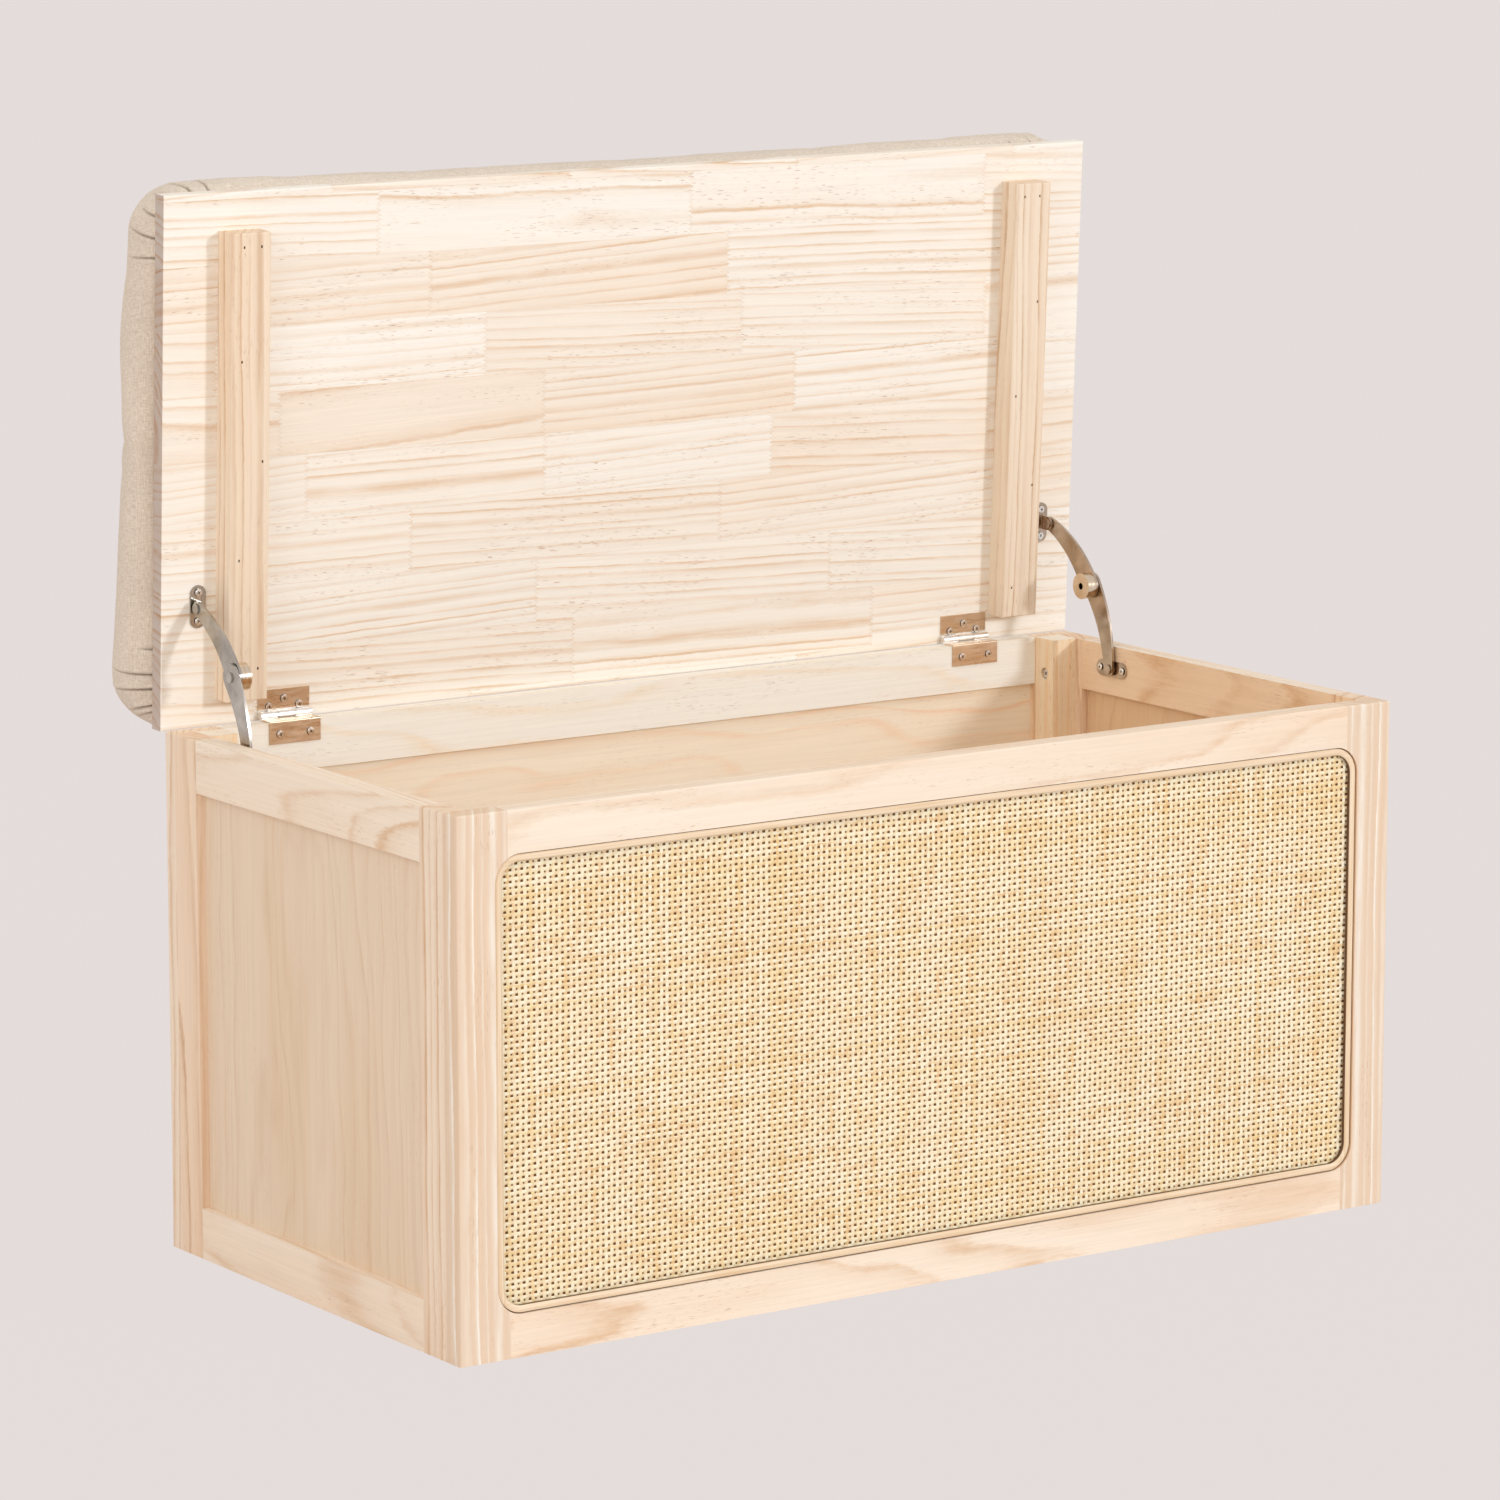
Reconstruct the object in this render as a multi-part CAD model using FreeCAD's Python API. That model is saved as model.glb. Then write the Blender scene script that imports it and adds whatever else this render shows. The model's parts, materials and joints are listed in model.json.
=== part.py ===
import FreeCAD, Part
import math
import os

# Storage trunk with a hinged, padded lid, shown with its lid open.
# Millimetres. X runs to the right, Y to the rear, Z up. The floor is Z = 0, X = 0 is the middle
# of the front, and Y = 0 is the middle of the whole footprint with the lid open.

# Case
BODY_W = 800.0
BODY_D = 392.0
BODY_H = 376.0
FRONT_Y = -228.0
FRONT_T = 17.0
SIDE_T = 17.0
REAR_T = 14.0
EASE = 1.5

# Front frame, with one routed opening for the cane
STILE_W = 40.0
OPENING_MARGIN = 30.0
OPENING_R = 20.0
FRONT_RAIL_H = 40.0

# Side and rear frames
SIDE_STILE_W = 30.0
SIDE_TOP_RAIL_H = 38.0
SIDE_BOTTOM_RAIL_H = 37.0
REAR_TOP_RAIL_H = 36.0
REAR_BOTTOM_RAIL_H = 37.0

# Thin plywood panels in grooves, and the stub tenons of the rails
PLY_T = 4.0
GROOVE_DEPTH = 8.0
GROOVE_PLAY = 0.5
TENON_T = 6.0
TENON_L = 10.0
TENON_SHOULDER = 5.0
TENON_CLEAR = 1.0

# Cane webbing and the reed that holds its edge
CANE_FACE = 4.2
CANE_T = 1.8
CANE_PLAY = 0.5
REED_W = 5.0
REED_FACE = 0.8
REED_GAP = 0.7
REED_CROWN = 0.8

# Bottom panel
BOTTOM_T = 5.0
BOTTOM_Z = 16.0
BOTTOM_GROOVE = 6.0

# Corner blocks and their screws
BLOCK = 22.0
FRONT_BLOCK_DROP = 6.0
BLOCK_SCREW_HEIGHTS = (60.0, 349.0)
COUNTERBORE_R = 4.6
COUNTERBORE_DEPTH = 4.0

# Lid, described lying flat and then swung open about its hinge axis
LID_W = 804.0
LID_D = 382.0
LID_T = 13.0
LID_EASE = 1.2
LID_OPEN_ANGLE = 87.4
AXIS_DEPTH = 391.0
AXIS_RISE = 3.3
LID_RISE = 3.2
LID_REAR = 4.0

# Battens across the lid's underside, each pinned with brads of rectangular wire
BATTEN_W = 32.0
BATTEN_T = 19.0
BATTEN_L = 335.0
BATTEN_OUTER_X = 358.0
BATTEN_START = 20.0
BATTEN_EASE = 1.0
BRAD_W = 1.9
BRAD_T = 1.4
BRAD_SINK = 1.0
BRAD_L = 24.0
BRAD_SPOTS = ((24.2, 23.0), (8.1, 102.0), (26.4, 172.0), (9.1, 244.0), (10.3, 325.0), (24.3, 325.0))

# Cushion
PAD_W = 802.0
PAD_D = 380.0
PAD_BULGE = 4.0
PAD_H = 46.0
PAD_CROWN = 6.0
PAD_CORNER_R = 30.0
PAD_SHOULDER = 18.0
PAD_NIP = 2.0
PAD_LIP = 6.0
PAD_DRAWN_IN = 2.5
PAD_BELLY = 0.4
PAD_BELLY_SHARE = 0.8
PAD_TURN = 40.0
PAD_LONG_CROWN = 8.4

# Butt hinges with a cranked lower leaf
HINGE_W = 42.0
HINGE_X = 301.8
LEAF_T = 1.2
KNUCKLE_R = 3.0
PIN_R = 1.6
PIN_PLAY = 0.04
PIN_PROUD = 0.5
KNUCKLES = 3
KNUCKLE_PLAY = 0.3
TONGUE_L = 6.0
LEAF_EASE = 0.96
UPPER_LEAF_L = 18.0
LOWER_FLANGE_H = 15.5
LEAF_SCREW_EDGE = 8.5
LEAF_SCREW_ROWS = (5.8, 11.0)
FLANGE_SCREW_DROP = 8.5

# Lid stays: two curved arms each, folding at an elbow with a spring drum
STAY_PIVOT_ALONG = 84.0
STAY_PIVOT_DROP = 7.9
STAY_FOOT_DEPTH = 309.5
STAY_FOOT_DROP = 17.5
STAY_ELBOW_DEPTH = 331.5
STAY_ELBOW_RISE = 45.0
ARM_T = 2.0
LOWER_ARM_INSET = 2.5
UPPER_ARM_INSET = 5.0
ARM_END_R = 5.2
ARM_MID_R = 7.6
ARM_ELBOW_R = 10.0
UPPER_ARM_SAG = 5.5
LOWER_ARM_SAG = 5.0
STAY_PIN_R = 2.3
STAY_PIN_PLAY = 0.05
RIVET_R = 3.8
RIVET_H = 1.1
DRUM_R = 10.0
DRUM_L = 7.5
DRUM_HOLE_R = 2.4
DRUM_HOLE_DEPTH = 1.5
BRACKET_T = 1.2
BRACKET_W = 12.5
BODY_BRACKET_L = 37.0
BODY_SCREW_SPAN = 27.0
LID_BRACKET_L = 31.0
LID_SCREW_SPAN = 20.5
LID_BRACKET_INSET = 10.2
TAB_GAP = 0.4
ARM_PLAY = 0.2

# Screws: head and shank radii, head height and length
HEAD_SIDES = 12
SHANK_SIDES = 6
SCREW_HEAD_R = 2.9
SCREW_HEAD_H = 1.1
SCREW_SHANK_R = 1.4
SCREW_L = 11.0
LONG_HEAD_R = 4.0
LONG_HEAD_H = 2.6
LONG_SHANK_R = 1.9
LONG_SCREW_L = 30.0

# Derived places
HALF_W = BODY_W / 2
REAR_Y = FRONT_Y + BODY_D
SIDE_IN = HALF_W - SIDE_T
WELL_FRONT = FRONT_Y + FRONT_T
WELL_REAR = REAR_Y - REAR_T
AXIS_Y = FRONT_Y + AXIS_DEPTH
AXIS_Z = BODY_H + AXIS_RISE
LID_Z = AXIS_Z + LID_RISE
LID_REAR_Y = AXIS_Y + LID_REAR
LID_FRONT_Y = LID_REAR_Y - LID_D
LID_TOP = LID_Z + LID_T

X_AXIS = FreeCAD.Vector(1, 0, 0)
Y_AXIS = FreeCAD.Vector(0, 1, 0)
Z_AXIS = FreeCAD.Vector(0, 0, 1)


def save(node, shape):
    """Write one named piece."""
    shape.exportStep("parts/" + node + ".step")


def block(x, y, z):
    """Box between pairs of limits along the three axes."""
    x0, x1 = sorted(x)
    y0, y1 = sorted(y)
    z0, z1 = sorted(z)
    return Part.makeBox(x1 - x0, y1 - y0, z1 - z0, FreeCAD.Vector(x0, y0, z0))


def rod(start, axis, radius, length):
    """Cylinder from a start point along an axis."""
    return Part.makeCylinder(radius, length, start, axis)


def edges_on(shape, **places):
    """Edges that lie wholly on the planes named, such as x=400, z=376."""
    found = []
    for edge in shape.Edges:
        points = [vertex.Point for vertex in edge.Vertexes]
        if all(abs(getattr(point, axis) - place) < 0.01 for point in points for axis, place in places.items()):
            found.append(edge)
    return found


def eased(shape, radius, *wanted):
    """Round the edges that the sets of planes pick out."""
    edges = [edge for places in wanted for edge in edges_on(shape, **places)]
    return shape.makeFillet(radius, edges)


def mirrored(shape):
    """The piece's twin on the other side of the trunk."""
    return shape.mirror(FreeCAD.Vector(0, 0, 0), X_AXIS)


def opened(shape):
    """Swing a piece of the flat lid open about the hinge axis."""
    turned = shape.copy()
    turned.rotate(FreeCAD.Vector(0, AXIS_Y, AXIS_Z), X_AXIS, -LID_OPEN_ANGLE)
    return turned


def rounded_outline(x0, x1, z0, z1, radius, y):
    """Closed wire of a rectangle with round corners, in the plane at y."""
    left, right = x0 + radius, x1 - radius
    low, high = z0 + radius, z1 - radius
    centres = ((right, high), (left, high), (left, low), (right, low))
    arcs = []
    ends = []
    for quarter, (x, z) in enumerate(centres):
        points = []
        for eighth in (0, 1, 2):
            angle = math.radians(90 * quarter + 45 * eighth)
            points.append(FreeCAD.Vector(x + radius * math.cos(angle), y, z + radius * math.sin(angle)))
        arcs.append(Part.Arc(*points).toShape())
        ends.append((points[0], points[2]))
    edges = []
    for index, arc in enumerate(arcs):
        edges.append(arc)
        edges.append(Part.makeLine(ends[index][1], ends[(index + 1) % 4][0]))
    return Part.Wire(edges)


def rounded_slab(inset, radius, depth0, depth1):
    """Slab of the front opening's outline, drawn in by inset, between two depths behind the front face."""
    reach = HALF_W - OPENING_MARGIN - inset
    low = OPENING_MARGIN + inset
    high = BODY_H - OPENING_MARGIN - inset
    wire = rounded_outline(-reach, reach, low, high, radius, FRONT_Y + depth0)
    return Part.Face(wire).extrude(FreeCAD.Vector(0, depth1 - depth0, 0))


def prism(start, axis, radius, length, sides):
    """Regular prism along an axis, standing in for a round where many small ones repeat."""
    turn = FreeCAD.Rotation(Z_AXIS, axis)
    corners = []
    for index in range(sides + 1):
        angle = math.radians(360.0 * (index % sides) / sides)
        corners.append(start + turn.multVec(FreeCAD.Vector(radius * math.cos(angle), radius * math.sin(angle), 0)))
    return Part.Face(Part.makePolygon(corners)).extrude(axis * length)


def screw(seat, axis, head_r=SCREW_HEAD_R, head_h=SCREW_HEAD_H, shank_r=SCREW_SHANK_R, length=SCREW_L):
    """Low-headed screw whose head sits on seat and whose shank runs along axis."""
    head = prism(seat - axis * head_h, axis, head_r, head_h, HEAD_SIDES)
    return head.fuse(prism(seat, axis, shank_r, length, SHANK_SIDES)).removeSplitter()


def pilot(seat, axis, shank_r=SCREW_SHANK_R, length=SCREW_L):
    """Hole that a screw's shank fills."""
    return prism(seat, axis, shank_r, length, SHANK_SIDES)


def bottom_panel():
    """Plywood bottom, let into the grooves round the case."""
    reach = SIDE_IN + BOTTOM_GROOVE
    depth = (WELL_FRONT - BOTTOM_GROOVE, WELL_REAR + BOTTOM_GROOVE)
    return block((-reach, reach), depth, (BOTTOM_Z, BOTTOM_Z + BOTTOM_T))


def tenon(lines, depth_middle, along, heights):
    """Stub tenon block: a thin tongue between two stations along the rail, at stated heights."""
    half = TENON_T / 2
    if lines == "x":
        return block(along, (depth_middle - half, depth_middle + half), heights)
    return block((depth_middle - half, depth_middle + half), along, heights)


def front_tenons(side):
    """The two tongues of the front rails at one end; side is -1 or 1."""
    shoulder = side * (HALF_W - STILE_W)
    tip = side * (HALF_W - STILE_W + TENON_L)
    middle = FRONT_Y + FRONT_T / 2
    low = (TENON_SHOULDER, OPENING_MARGIN - GROOVE_DEPTH - TENON_CLEAR)
    high = (BODY_H - low[1], BODY_H - low[0])
    return [tenon("x", middle, (shoulder, tip), heights) for heights in (low, high)]


def front_frame():
    """Stiles, rails and the parts of the cane panel that they hold."""
    opening = rounded_slab(0.0, OPENING_R, 0.0, FRONT_T)
    panel_front = CANE_FACE + CANE_T
    reach = HALF_W - OPENING_MARGIN + GROOVE_DEPTH
    low = OPENING_MARGIN - GROOVE_DEPTH
    ply_depth = (FRONT_Y + panel_front, FRONT_Y + panel_front + PLY_T)
    groove = block((-reach, reach), ply_depth, (low, BODY_H - low))
    depth = (FRONT_Y, WELL_FRONT)
    pieces = {}
    for side, name in ((-1, "left"), (1, "right")):
        stile = block((side * HALF_W, side * (HALF_W - STILE_W)), depth, (0, BODY_H))
        outer = side * HALF_W
        arrises = ({"x": outer, "y": FRONT_Y}, {"y": FRONT_Y, "z": BODY_H}, {"x": outer, "z": BODY_H})
        stile = eased(stile, EASE, *arrises)
        for tongue in front_tenons(side):
            stile = stile.cut(tongue)
        pieces["front_" + name + "_stile"] = stile.cut(opening).cut(groove).cut(bottom_panel())
    inner = HALF_W - STILE_W
    for name, heights in (("bottom", (0, FRONT_RAIL_H)), ("top", (BODY_H - FRONT_RAIL_H, BODY_H))):
        rail = block((-inner, inner), depth, heights)
        if name == "top":
            rail = eased(rail, EASE, {"y": FRONT_Y, "z": BODY_H})
        index = 0 if name == "bottom" else 1
        rail = rail.fuse([front_tenons(-1)[index], front_tenons(1)[index]]).removeSplitter()
        pieces["front_" + name + "_rail"] = rail.cut(opening).cut(groove).cut(bottom_panel())
    return pieces


def cane_panel():
    """Backing board in its groove, the cane webbing on it, and the reed round the webbing's edge."""
    panel_front = CANE_FACE + CANE_T
    reach = HALF_W - OPENING_MARGIN + GROOVE_DEPTH - GROOVE_PLAY
    low = OPENING_MARGIN - GROOVE_DEPTH + GROOVE_PLAY
    ply_depth = (FRONT_Y + panel_front, FRONT_Y + panel_front + PLY_T)
    board = block((-reach, reach), ply_depth, (low, BODY_H - low))
    webbing = rounded_slab(CANE_PLAY, OPENING_R - CANE_PLAY, CANE_FACE, panel_front)
    return {"cane_back_board": board, "cane_webbing": webbing, "cane_reed": cane_reed()}


def cane_reed():
    """Reed with a rounded face, swept round the webbing's edge."""
    reach = HALF_W - OPENING_MARGIN - REED_GAP
    low = OPENING_MARGIN + REED_GAP
    back = FRONT_Y + CANE_FACE
    edge = FRONT_Y + REED_FACE + REED_CROWN
    path = rounded_outline(-reach, reach, low, BODY_H - low, OPENING_R - REED_GAP, back)
    outside = FreeCAD.Vector(reach, edge, BODY_H / 2)
    crest = FreeCAD.Vector(reach - REED_W / 2, edge - REED_CROWN, BODY_H / 2)
    inside = FreeCAD.Vector(reach - REED_W, edge, BODY_H / 2)
    foot_out = FreeCAD.Vector(reach, back, BODY_H / 2)
    foot_in = FreeCAD.Vector(reach - REED_W, back, BODY_H / 2)
    edges = [
        Part.makeLine(foot_out, outside),
        Part.Arc(outside, crest, inside).toShape(),
        Part.makeLine(inside, foot_in),
        Part.makeLine(foot_in, foot_out),
    ]
    return path.makePipeShell([Part.Wire(edges)], True, False)


def side_frame():
    """Left side frame: two stiles, two rails and the recessed plywood panel."""
    outer = -HALF_W
    inner = -SIDE_IN
    middle = (outer + inner) / 2
    front = (WELL_FRONT, WELL_FRONT + SIDE_STILE_W)
    rear = (WELL_REAR - SIDE_STILE_W, WELL_REAR)
    panel_x = (middle - PLY_T / 2, middle + PLY_T / 2)
    groove_y = (front[1] - GROOVE_DEPTH, rear[0] + GROOVE_DEPTH)
    groove_z = (SIDE_BOTTOM_RAIL_H - GROOVE_DEPTH, BODY_H - SIDE_TOP_RAIL_H + GROOVE_DEPTH)
    groove = block(panel_x, groove_y, groove_z)
    low = (TENON_SHOULDER, groove_z[0] - TENON_CLEAR)
    high = (groove_z[1] + TENON_CLEAR, BODY_H - TENON_SHOULDER)
    tongues = {}
    ends = (("front", front[1], front[1] - TENON_L), ("rear", rear[0], rear[0] + TENON_L))
    for end, shoulder, tip in ends:
        tongues[end] = [tenon("y", middle, (shoulder, tip), heights) for heights in (low, high)]
    pieces = {}
    for name, depth in (("front", front), ("rear", rear)):
        stile = block((outer, inner), depth, (0, BODY_H))
        stile = eased(stile, EASE, {"x": outer, "z": BODY_H})
        for tongue in tongues[name]:
            stile = stile.cut(tongue)
        pieces["side_" + name + "_stile"] = stile.cut(groove).cut(bottom_panel())
    rails = (("bottom", 0, SIDE_BOTTOM_RAIL_H), ("top", BODY_H - SIDE_TOP_RAIL_H, BODY_H))
    for index, (name, z0, z1) in enumerate(rails):
        rail = block((outer, inner), (front[1], rear[0]), (z0, z1))
        if name == "top":
            rail = eased(rail, EASE, {"x": outer, "z": BODY_H})
        rail = rail.fuse([tongues["front"][index], tongues["rear"][index]]).removeSplitter()
        pieces["side_" + name + "_rail"] = rail.cut(groove).cut(bottom_panel())
    panel_y = (groove_y[0] + GROOVE_PLAY, groove_y[1] - GROOVE_PLAY)
    panel_z = (groove_z[0] + GROOVE_PLAY, groove_z[1] - GROOVE_PLAY)
    pieces["side_panel"] = block(panel_x, panel_y, panel_z)
    return pieces


def rear_frame():
    """Rear stiles and rails with the plywood back between them."""
    depth = (WELL_REAR, REAR_Y)
    middle = (WELL_REAR + REAR_Y) / 2
    panel_y = (middle - PLY_T / 2, middle + PLY_T / 2)
    inner = HALF_W - STILE_W
    groove_z = (REAR_BOTTOM_RAIL_H - GROOVE_DEPTH, BODY_H - REAR_TOP_RAIL_H + GROOVE_DEPTH)
    groove = block((-inner - GROOVE_DEPTH, inner + GROOVE_DEPTH), panel_y, groove_z)
    low = (TENON_SHOULDER, groove_z[0] - TENON_CLEAR)
    high = (groove_z[1] + TENON_CLEAR, BODY_H - TENON_SHOULDER)
    tongues = {side: [tenon("x", middle, (side * inner, side * (inner + TENON_L)), h) for h in (low, high)]
               for side in (-1, 1)}
    pieces = {}
    for side, name in ((-1, "left"), (1, "right")):
        stile = block((side * HALF_W, side * inner), depth, (0, BODY_H))
        outer = side * HALF_W
        arrises = ({"x": outer, "y": REAR_Y}, {"y": REAR_Y, "z": BODY_H}, {"x": outer, "z": BODY_H})
        stile = eased(stile, EASE, *arrises)
        for tongue in tongues[side]:
            stile = stile.cut(tongue)
        pieces["rear_" + name + "_stile"] = stile.cut(groove).cut(bottom_panel())
    rails = (("bottom", 0, REAR_BOTTOM_RAIL_H), ("top", BODY_H - REAR_TOP_RAIL_H, BODY_H))
    for index, (name, z0, z1) in enumerate(rails):
        rail = block((-inner, inner), depth, (z0, z1))
        if name == "top":
            rail = eased(rail, EASE, {"y": REAR_Y, "z": BODY_H})
        rail = rail.fuse([tongues[-1][index], tongues[1][index]]).removeSplitter()
        pieces["rear_" + name + "_rail"] = rail.cut(groove).cut(bottom_panel())
    reach = inner + GROOVE_DEPTH - GROOVE_PLAY
    panel_z = (groove_z[0] + GROOVE_PLAY, groove_z[1] - GROOVE_PLAY)
    pieces["rear_panel"] = block((-reach, reach), panel_y, panel_z)
    return pieces


def corner_block_depths():
    """The two depths that the corner blocks fill, front and rear."""
    return {"front": (WELL_FRONT, WELL_FRONT + BLOCK), "rear": (WELL_REAR - BLOCK, WELL_REAR)}


def corner_blocks():
    """Left pair of blocks, bored for their screws."""
    blocks = {}
    tops = {"front": BODY_H - FRONT_BLOCK_DROP, "rear": BODY_H}
    for name, depth in corner_block_depths().items():
        piece = block((-SIDE_IN, -SIDE_IN + BLOCK), depth, (BOTTOM_Z + BOTTOM_T, tops[name]))
        for face, seat, hole in block_screw_places(sum(depth) / 2):
            piece = piece.cut(prism(face, -X_AXIS, COUNTERBORE_R, COUNTERBORE_DEPTH, HEAD_SIDES))
            piece = piece.cut(hole)
        blocks[name + "_corner_block"] = piece
    return blocks


def block_screw_places(y):
    """Each screw of a left block: the point on the face, the head's seat, and the hole of the shank."""
    places = []
    for z in BLOCK_SCREW_HEIGHTS:
        face = FreeCAD.Vector(-SIDE_IN + BLOCK, y, z)
        seat = face - X_AXIS * COUNTERBORE_DEPTH
        places.append((face, seat, pilot(seat, -X_AXIS, LONG_SHANK_R, LONG_SCREW_L)))
    return places


def block_screws():
    """Screws through all four corner blocks into the side frames, and the left holes that they fill."""
    screws = []
    holes = []
    for depth in corner_block_depths().values():
        for face, seat, hole in block_screw_places(sum(depth) / 2):
            piece = screw(seat, -X_AXIS, LONG_HEAD_R, LONG_HEAD_H, LONG_SHANK_R, LONG_SCREW_L)
            screws += [piece, mirrored(piece)]
            holes.append(hole)
    return Part.Compound(screws), holes


def lid_board():
    """The lid's board, lying flat."""
    half = LID_W / 2
    board = block((-half, half), (LID_FRONT_Y, LID_REAR_Y), (LID_Z, LID_TOP))
    ends = [{"x": side * half, "z": z} for side in (-1, 1) for z in (LID_Z, LID_TOP)]
    lengths = [{"y": y, "z": z} for y in (LID_FRONT_Y, LID_REAR_Y) for z in (LID_Z, LID_TOP)]
    return eased(board, LID_EASE, *ends, *lengths)


def batten():
    """Left batten under the flat lid."""
    low = LID_Z - BATTEN_T
    x = (-BATTEN_OUTER_X, -BATTEN_OUTER_X + BATTEN_W)
    y = (LID_REAR_Y - BATTEN_START - BATTEN_L, LID_REAR_Y - BATTEN_START)
    piece = block(x, y, (low, LID_Z))
    arrises = [{"x": edge, "z": low} for edge in x] + [{"y": edge, "z": low} for edge in y]
    return eased(piece, BATTEN_EASE, *arrises)


def brad(x, y, z0, z1):
    """Rectangular wire between two heights."""
    return block((x - BRAD_T / 2, x + BRAD_T / 2), (y - BRAD_W / 2, y + BRAD_W / 2), (z0, z1))


def batten_brads():
    """Brads of the left batten, sunk a little below its face, and the holes that they leave."""
    brads = []
    holes = []
    face = LID_Z - BATTEN_T
    for across, along in BRAD_SPOTS:
        x = -BATTEN_OUTER_X + across
        y = LID_REAR_Y - BATTEN_START - along
        brads.append(brad(x, y, face + BRAD_SINK, face + BRAD_SINK + BRAD_L))
        holes.append(brad(x, y, face - 1.0, face + BRAD_SINK + BRAD_L))
    return brads, holes


def pad_outline(half_x, half_y, radius, drawn, z):
    """Outline of the cushion at one height: sides that pull in between round corners."""
    centre_y = (LID_FRONT_Y + LID_REAR_Y) / 2
    diagonal = radius * (1 - math.sqrt(0.5))
    corners = ((1, 1), (-1, 1), (-1, -1), (1, -1))
    starts = []
    arcs = []
    for sx, sy in corners:
        on_side = FreeCAD.Vector(sx * half_x, centre_y + sy * (half_y - radius), z)
        on_end = FreeCAD.Vector(sx * (half_x - radius), centre_y + sy * half_y, z)
        middle = FreeCAD.Vector(sx * (half_x - diagonal), centre_y + sy * (half_y - diagonal), z)
        first, last = (on_side, on_end) if sx * sy > 0 else (on_end, on_side)
        arcs.append(Part.Arc(first, middle, last).toShape())
        starts.append((first, last))
    inward = (Y_AXIS * -drawn, X_AXIS * drawn, Y_AXIS * drawn, X_AXIS * -drawn)
    edges = []
    for index, arc in enumerate(arcs):
        start = starts[index][1]
        end = starts[(index + 1) % 4][0]
        middle = (start + end) * 0.5 + inward[index]
        edges.append(arc)
        edges.append(Part.Arc(start, middle, end).toShape() if drawn > 0.01 else Part.makeLine(start, end))
    return Part.Wire(edges)


def cushion():
    """Padded seat on the flat lid: nipped foot, bulging sides, round shoulder and low crown."""
    half_x = PAD_W / 2
    half_y = PAD_D / 2
    side_h = PAD_H - PAD_SHOULDER
    belly = (PAD_BULGE * PAD_BELLY_SHARE, side_h * PAD_BELLY, PAD_DRAWN_IN)
    rings = [(-PAD_NIP, 0.0, PAD_DRAWN_IN), belly]
    for turn in (0.0, PAD_TURN, 90.0):
        angle = math.radians(turn)
        grow = PAD_BULGE - PAD_SHOULDER * (1 - math.cos(angle))
        rings.append((grow, side_h + PAD_SHOULDER * math.sin(angle), PAD_DRAWN_IN * math.cos(angle)))
    wires = []
    for grow, height, drawn in rings:
        radius = PAD_CORNER_R + grow
        wires.append(pad_outline(half_x + grow, half_y + grow, radius, drawn, LID_TOP + height))
    edge = rings[-1][0]
    outline = pad_outline(half_x + edge, half_y + edge, PAD_CORNER_R + edge, 0.0, LID_TOP + PAD_H)
    crown = Part.Face(outline).extrude(Z_AXIS * PAD_CROWN)
    centre_y = (LID_FRONT_Y + LID_REAR_Y) / 2
    lip = edge + PAD_LIP
    barrels = ((half_y + lip, PAD_CROWN, X_AXIS), (half_x + lip, PAD_LONG_CROWN, Y_AXIS))
    for reach, rise, axis in barrels:
        radius = reach ** 2 / (2 * rise) + rise / 2
        start = FreeCAD.Vector(0, centre_y, LID_TOP + PAD_H + rise - radius) - axis * PAD_W
        crown = crown.common(rod(start, axis, radius, 2 * PAD_W))
    return Part.makeLoft(wires, True, True).fuse(crown).removeSplitter()


def knuckle_spans():
    """Stations of the knuckles across a hinge."""
    step = HINGE_W / KNUCKLES
    return [(index * step, (index + 1) * step) for index in range(KNUCKLES)]


def hinge_bore(x):
    """Hole of the pin, with its running play, right through a hinge."""
    start = FreeCAD.Vector(x - 1.0, AXIS_Y, AXIS_Z)
    return rod(start, X_AXIS, PIN_R + PIN_PLAY, HINGE_W + 2.0)


def hinge_pin(x):
    """Pin through the knuckles, proud of them by a little at each end."""
    start = FreeCAD.Vector(x - PIN_PROUD, AXIS_Y, AXIS_Z)
    return rod(start, X_AXIS, PIN_R, HINGE_W + 2 * PIN_PROUD)


def hinge_lower_leaf(x):
    """Leaf screwed inside the rear rail, bent over the rail's top, ending in every other knuckle."""
    flange_x = (x, x + HINGE_W)
    flange = block(flange_x, (WELL_REAR - LEAF_T, WELL_REAR), (BODY_H - LOWER_FLANGE_H, BODY_H + LEAF_T))
    flange = eased(flange, LEAF_EASE, {"y": WELL_REAR - LEAF_T, "z": BODY_H + LEAF_T})
    over = block(flange_x, (WELL_REAR, AXIS_Y - KNUCKLE_R - KNUCKLE_PLAY), (BODY_H, BODY_H + LEAF_T))
    leaf = flange.fuse(over)
    for index, (start, end) in enumerate(knuckle_spans()):
        if index % 2:
            continue
        span = (x + start + (KNUCKLE_PLAY if index else 0.0), x + end)
        knuckle = rod(FreeCAD.Vector(span[0], AXIS_Y, AXIS_Z), X_AXIS, KNUCKLE_R, span[1] - span[0])
        tongue = block(span, (AXIS_Y - TONGUE_L, AXIS_Y), (BODY_H, BODY_H + LEAF_T))
        leaf = leaf.fuse(knuckle).fuse(tongue)
    for seat, axis in lower_leaf_screws(x):
        leaf = leaf.cut(pilot(seat, axis, SCREW_SHANK_R, LEAF_T + 1.0))
    return leaf.cut(hinge_bore(x)).removeSplitter()


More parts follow.
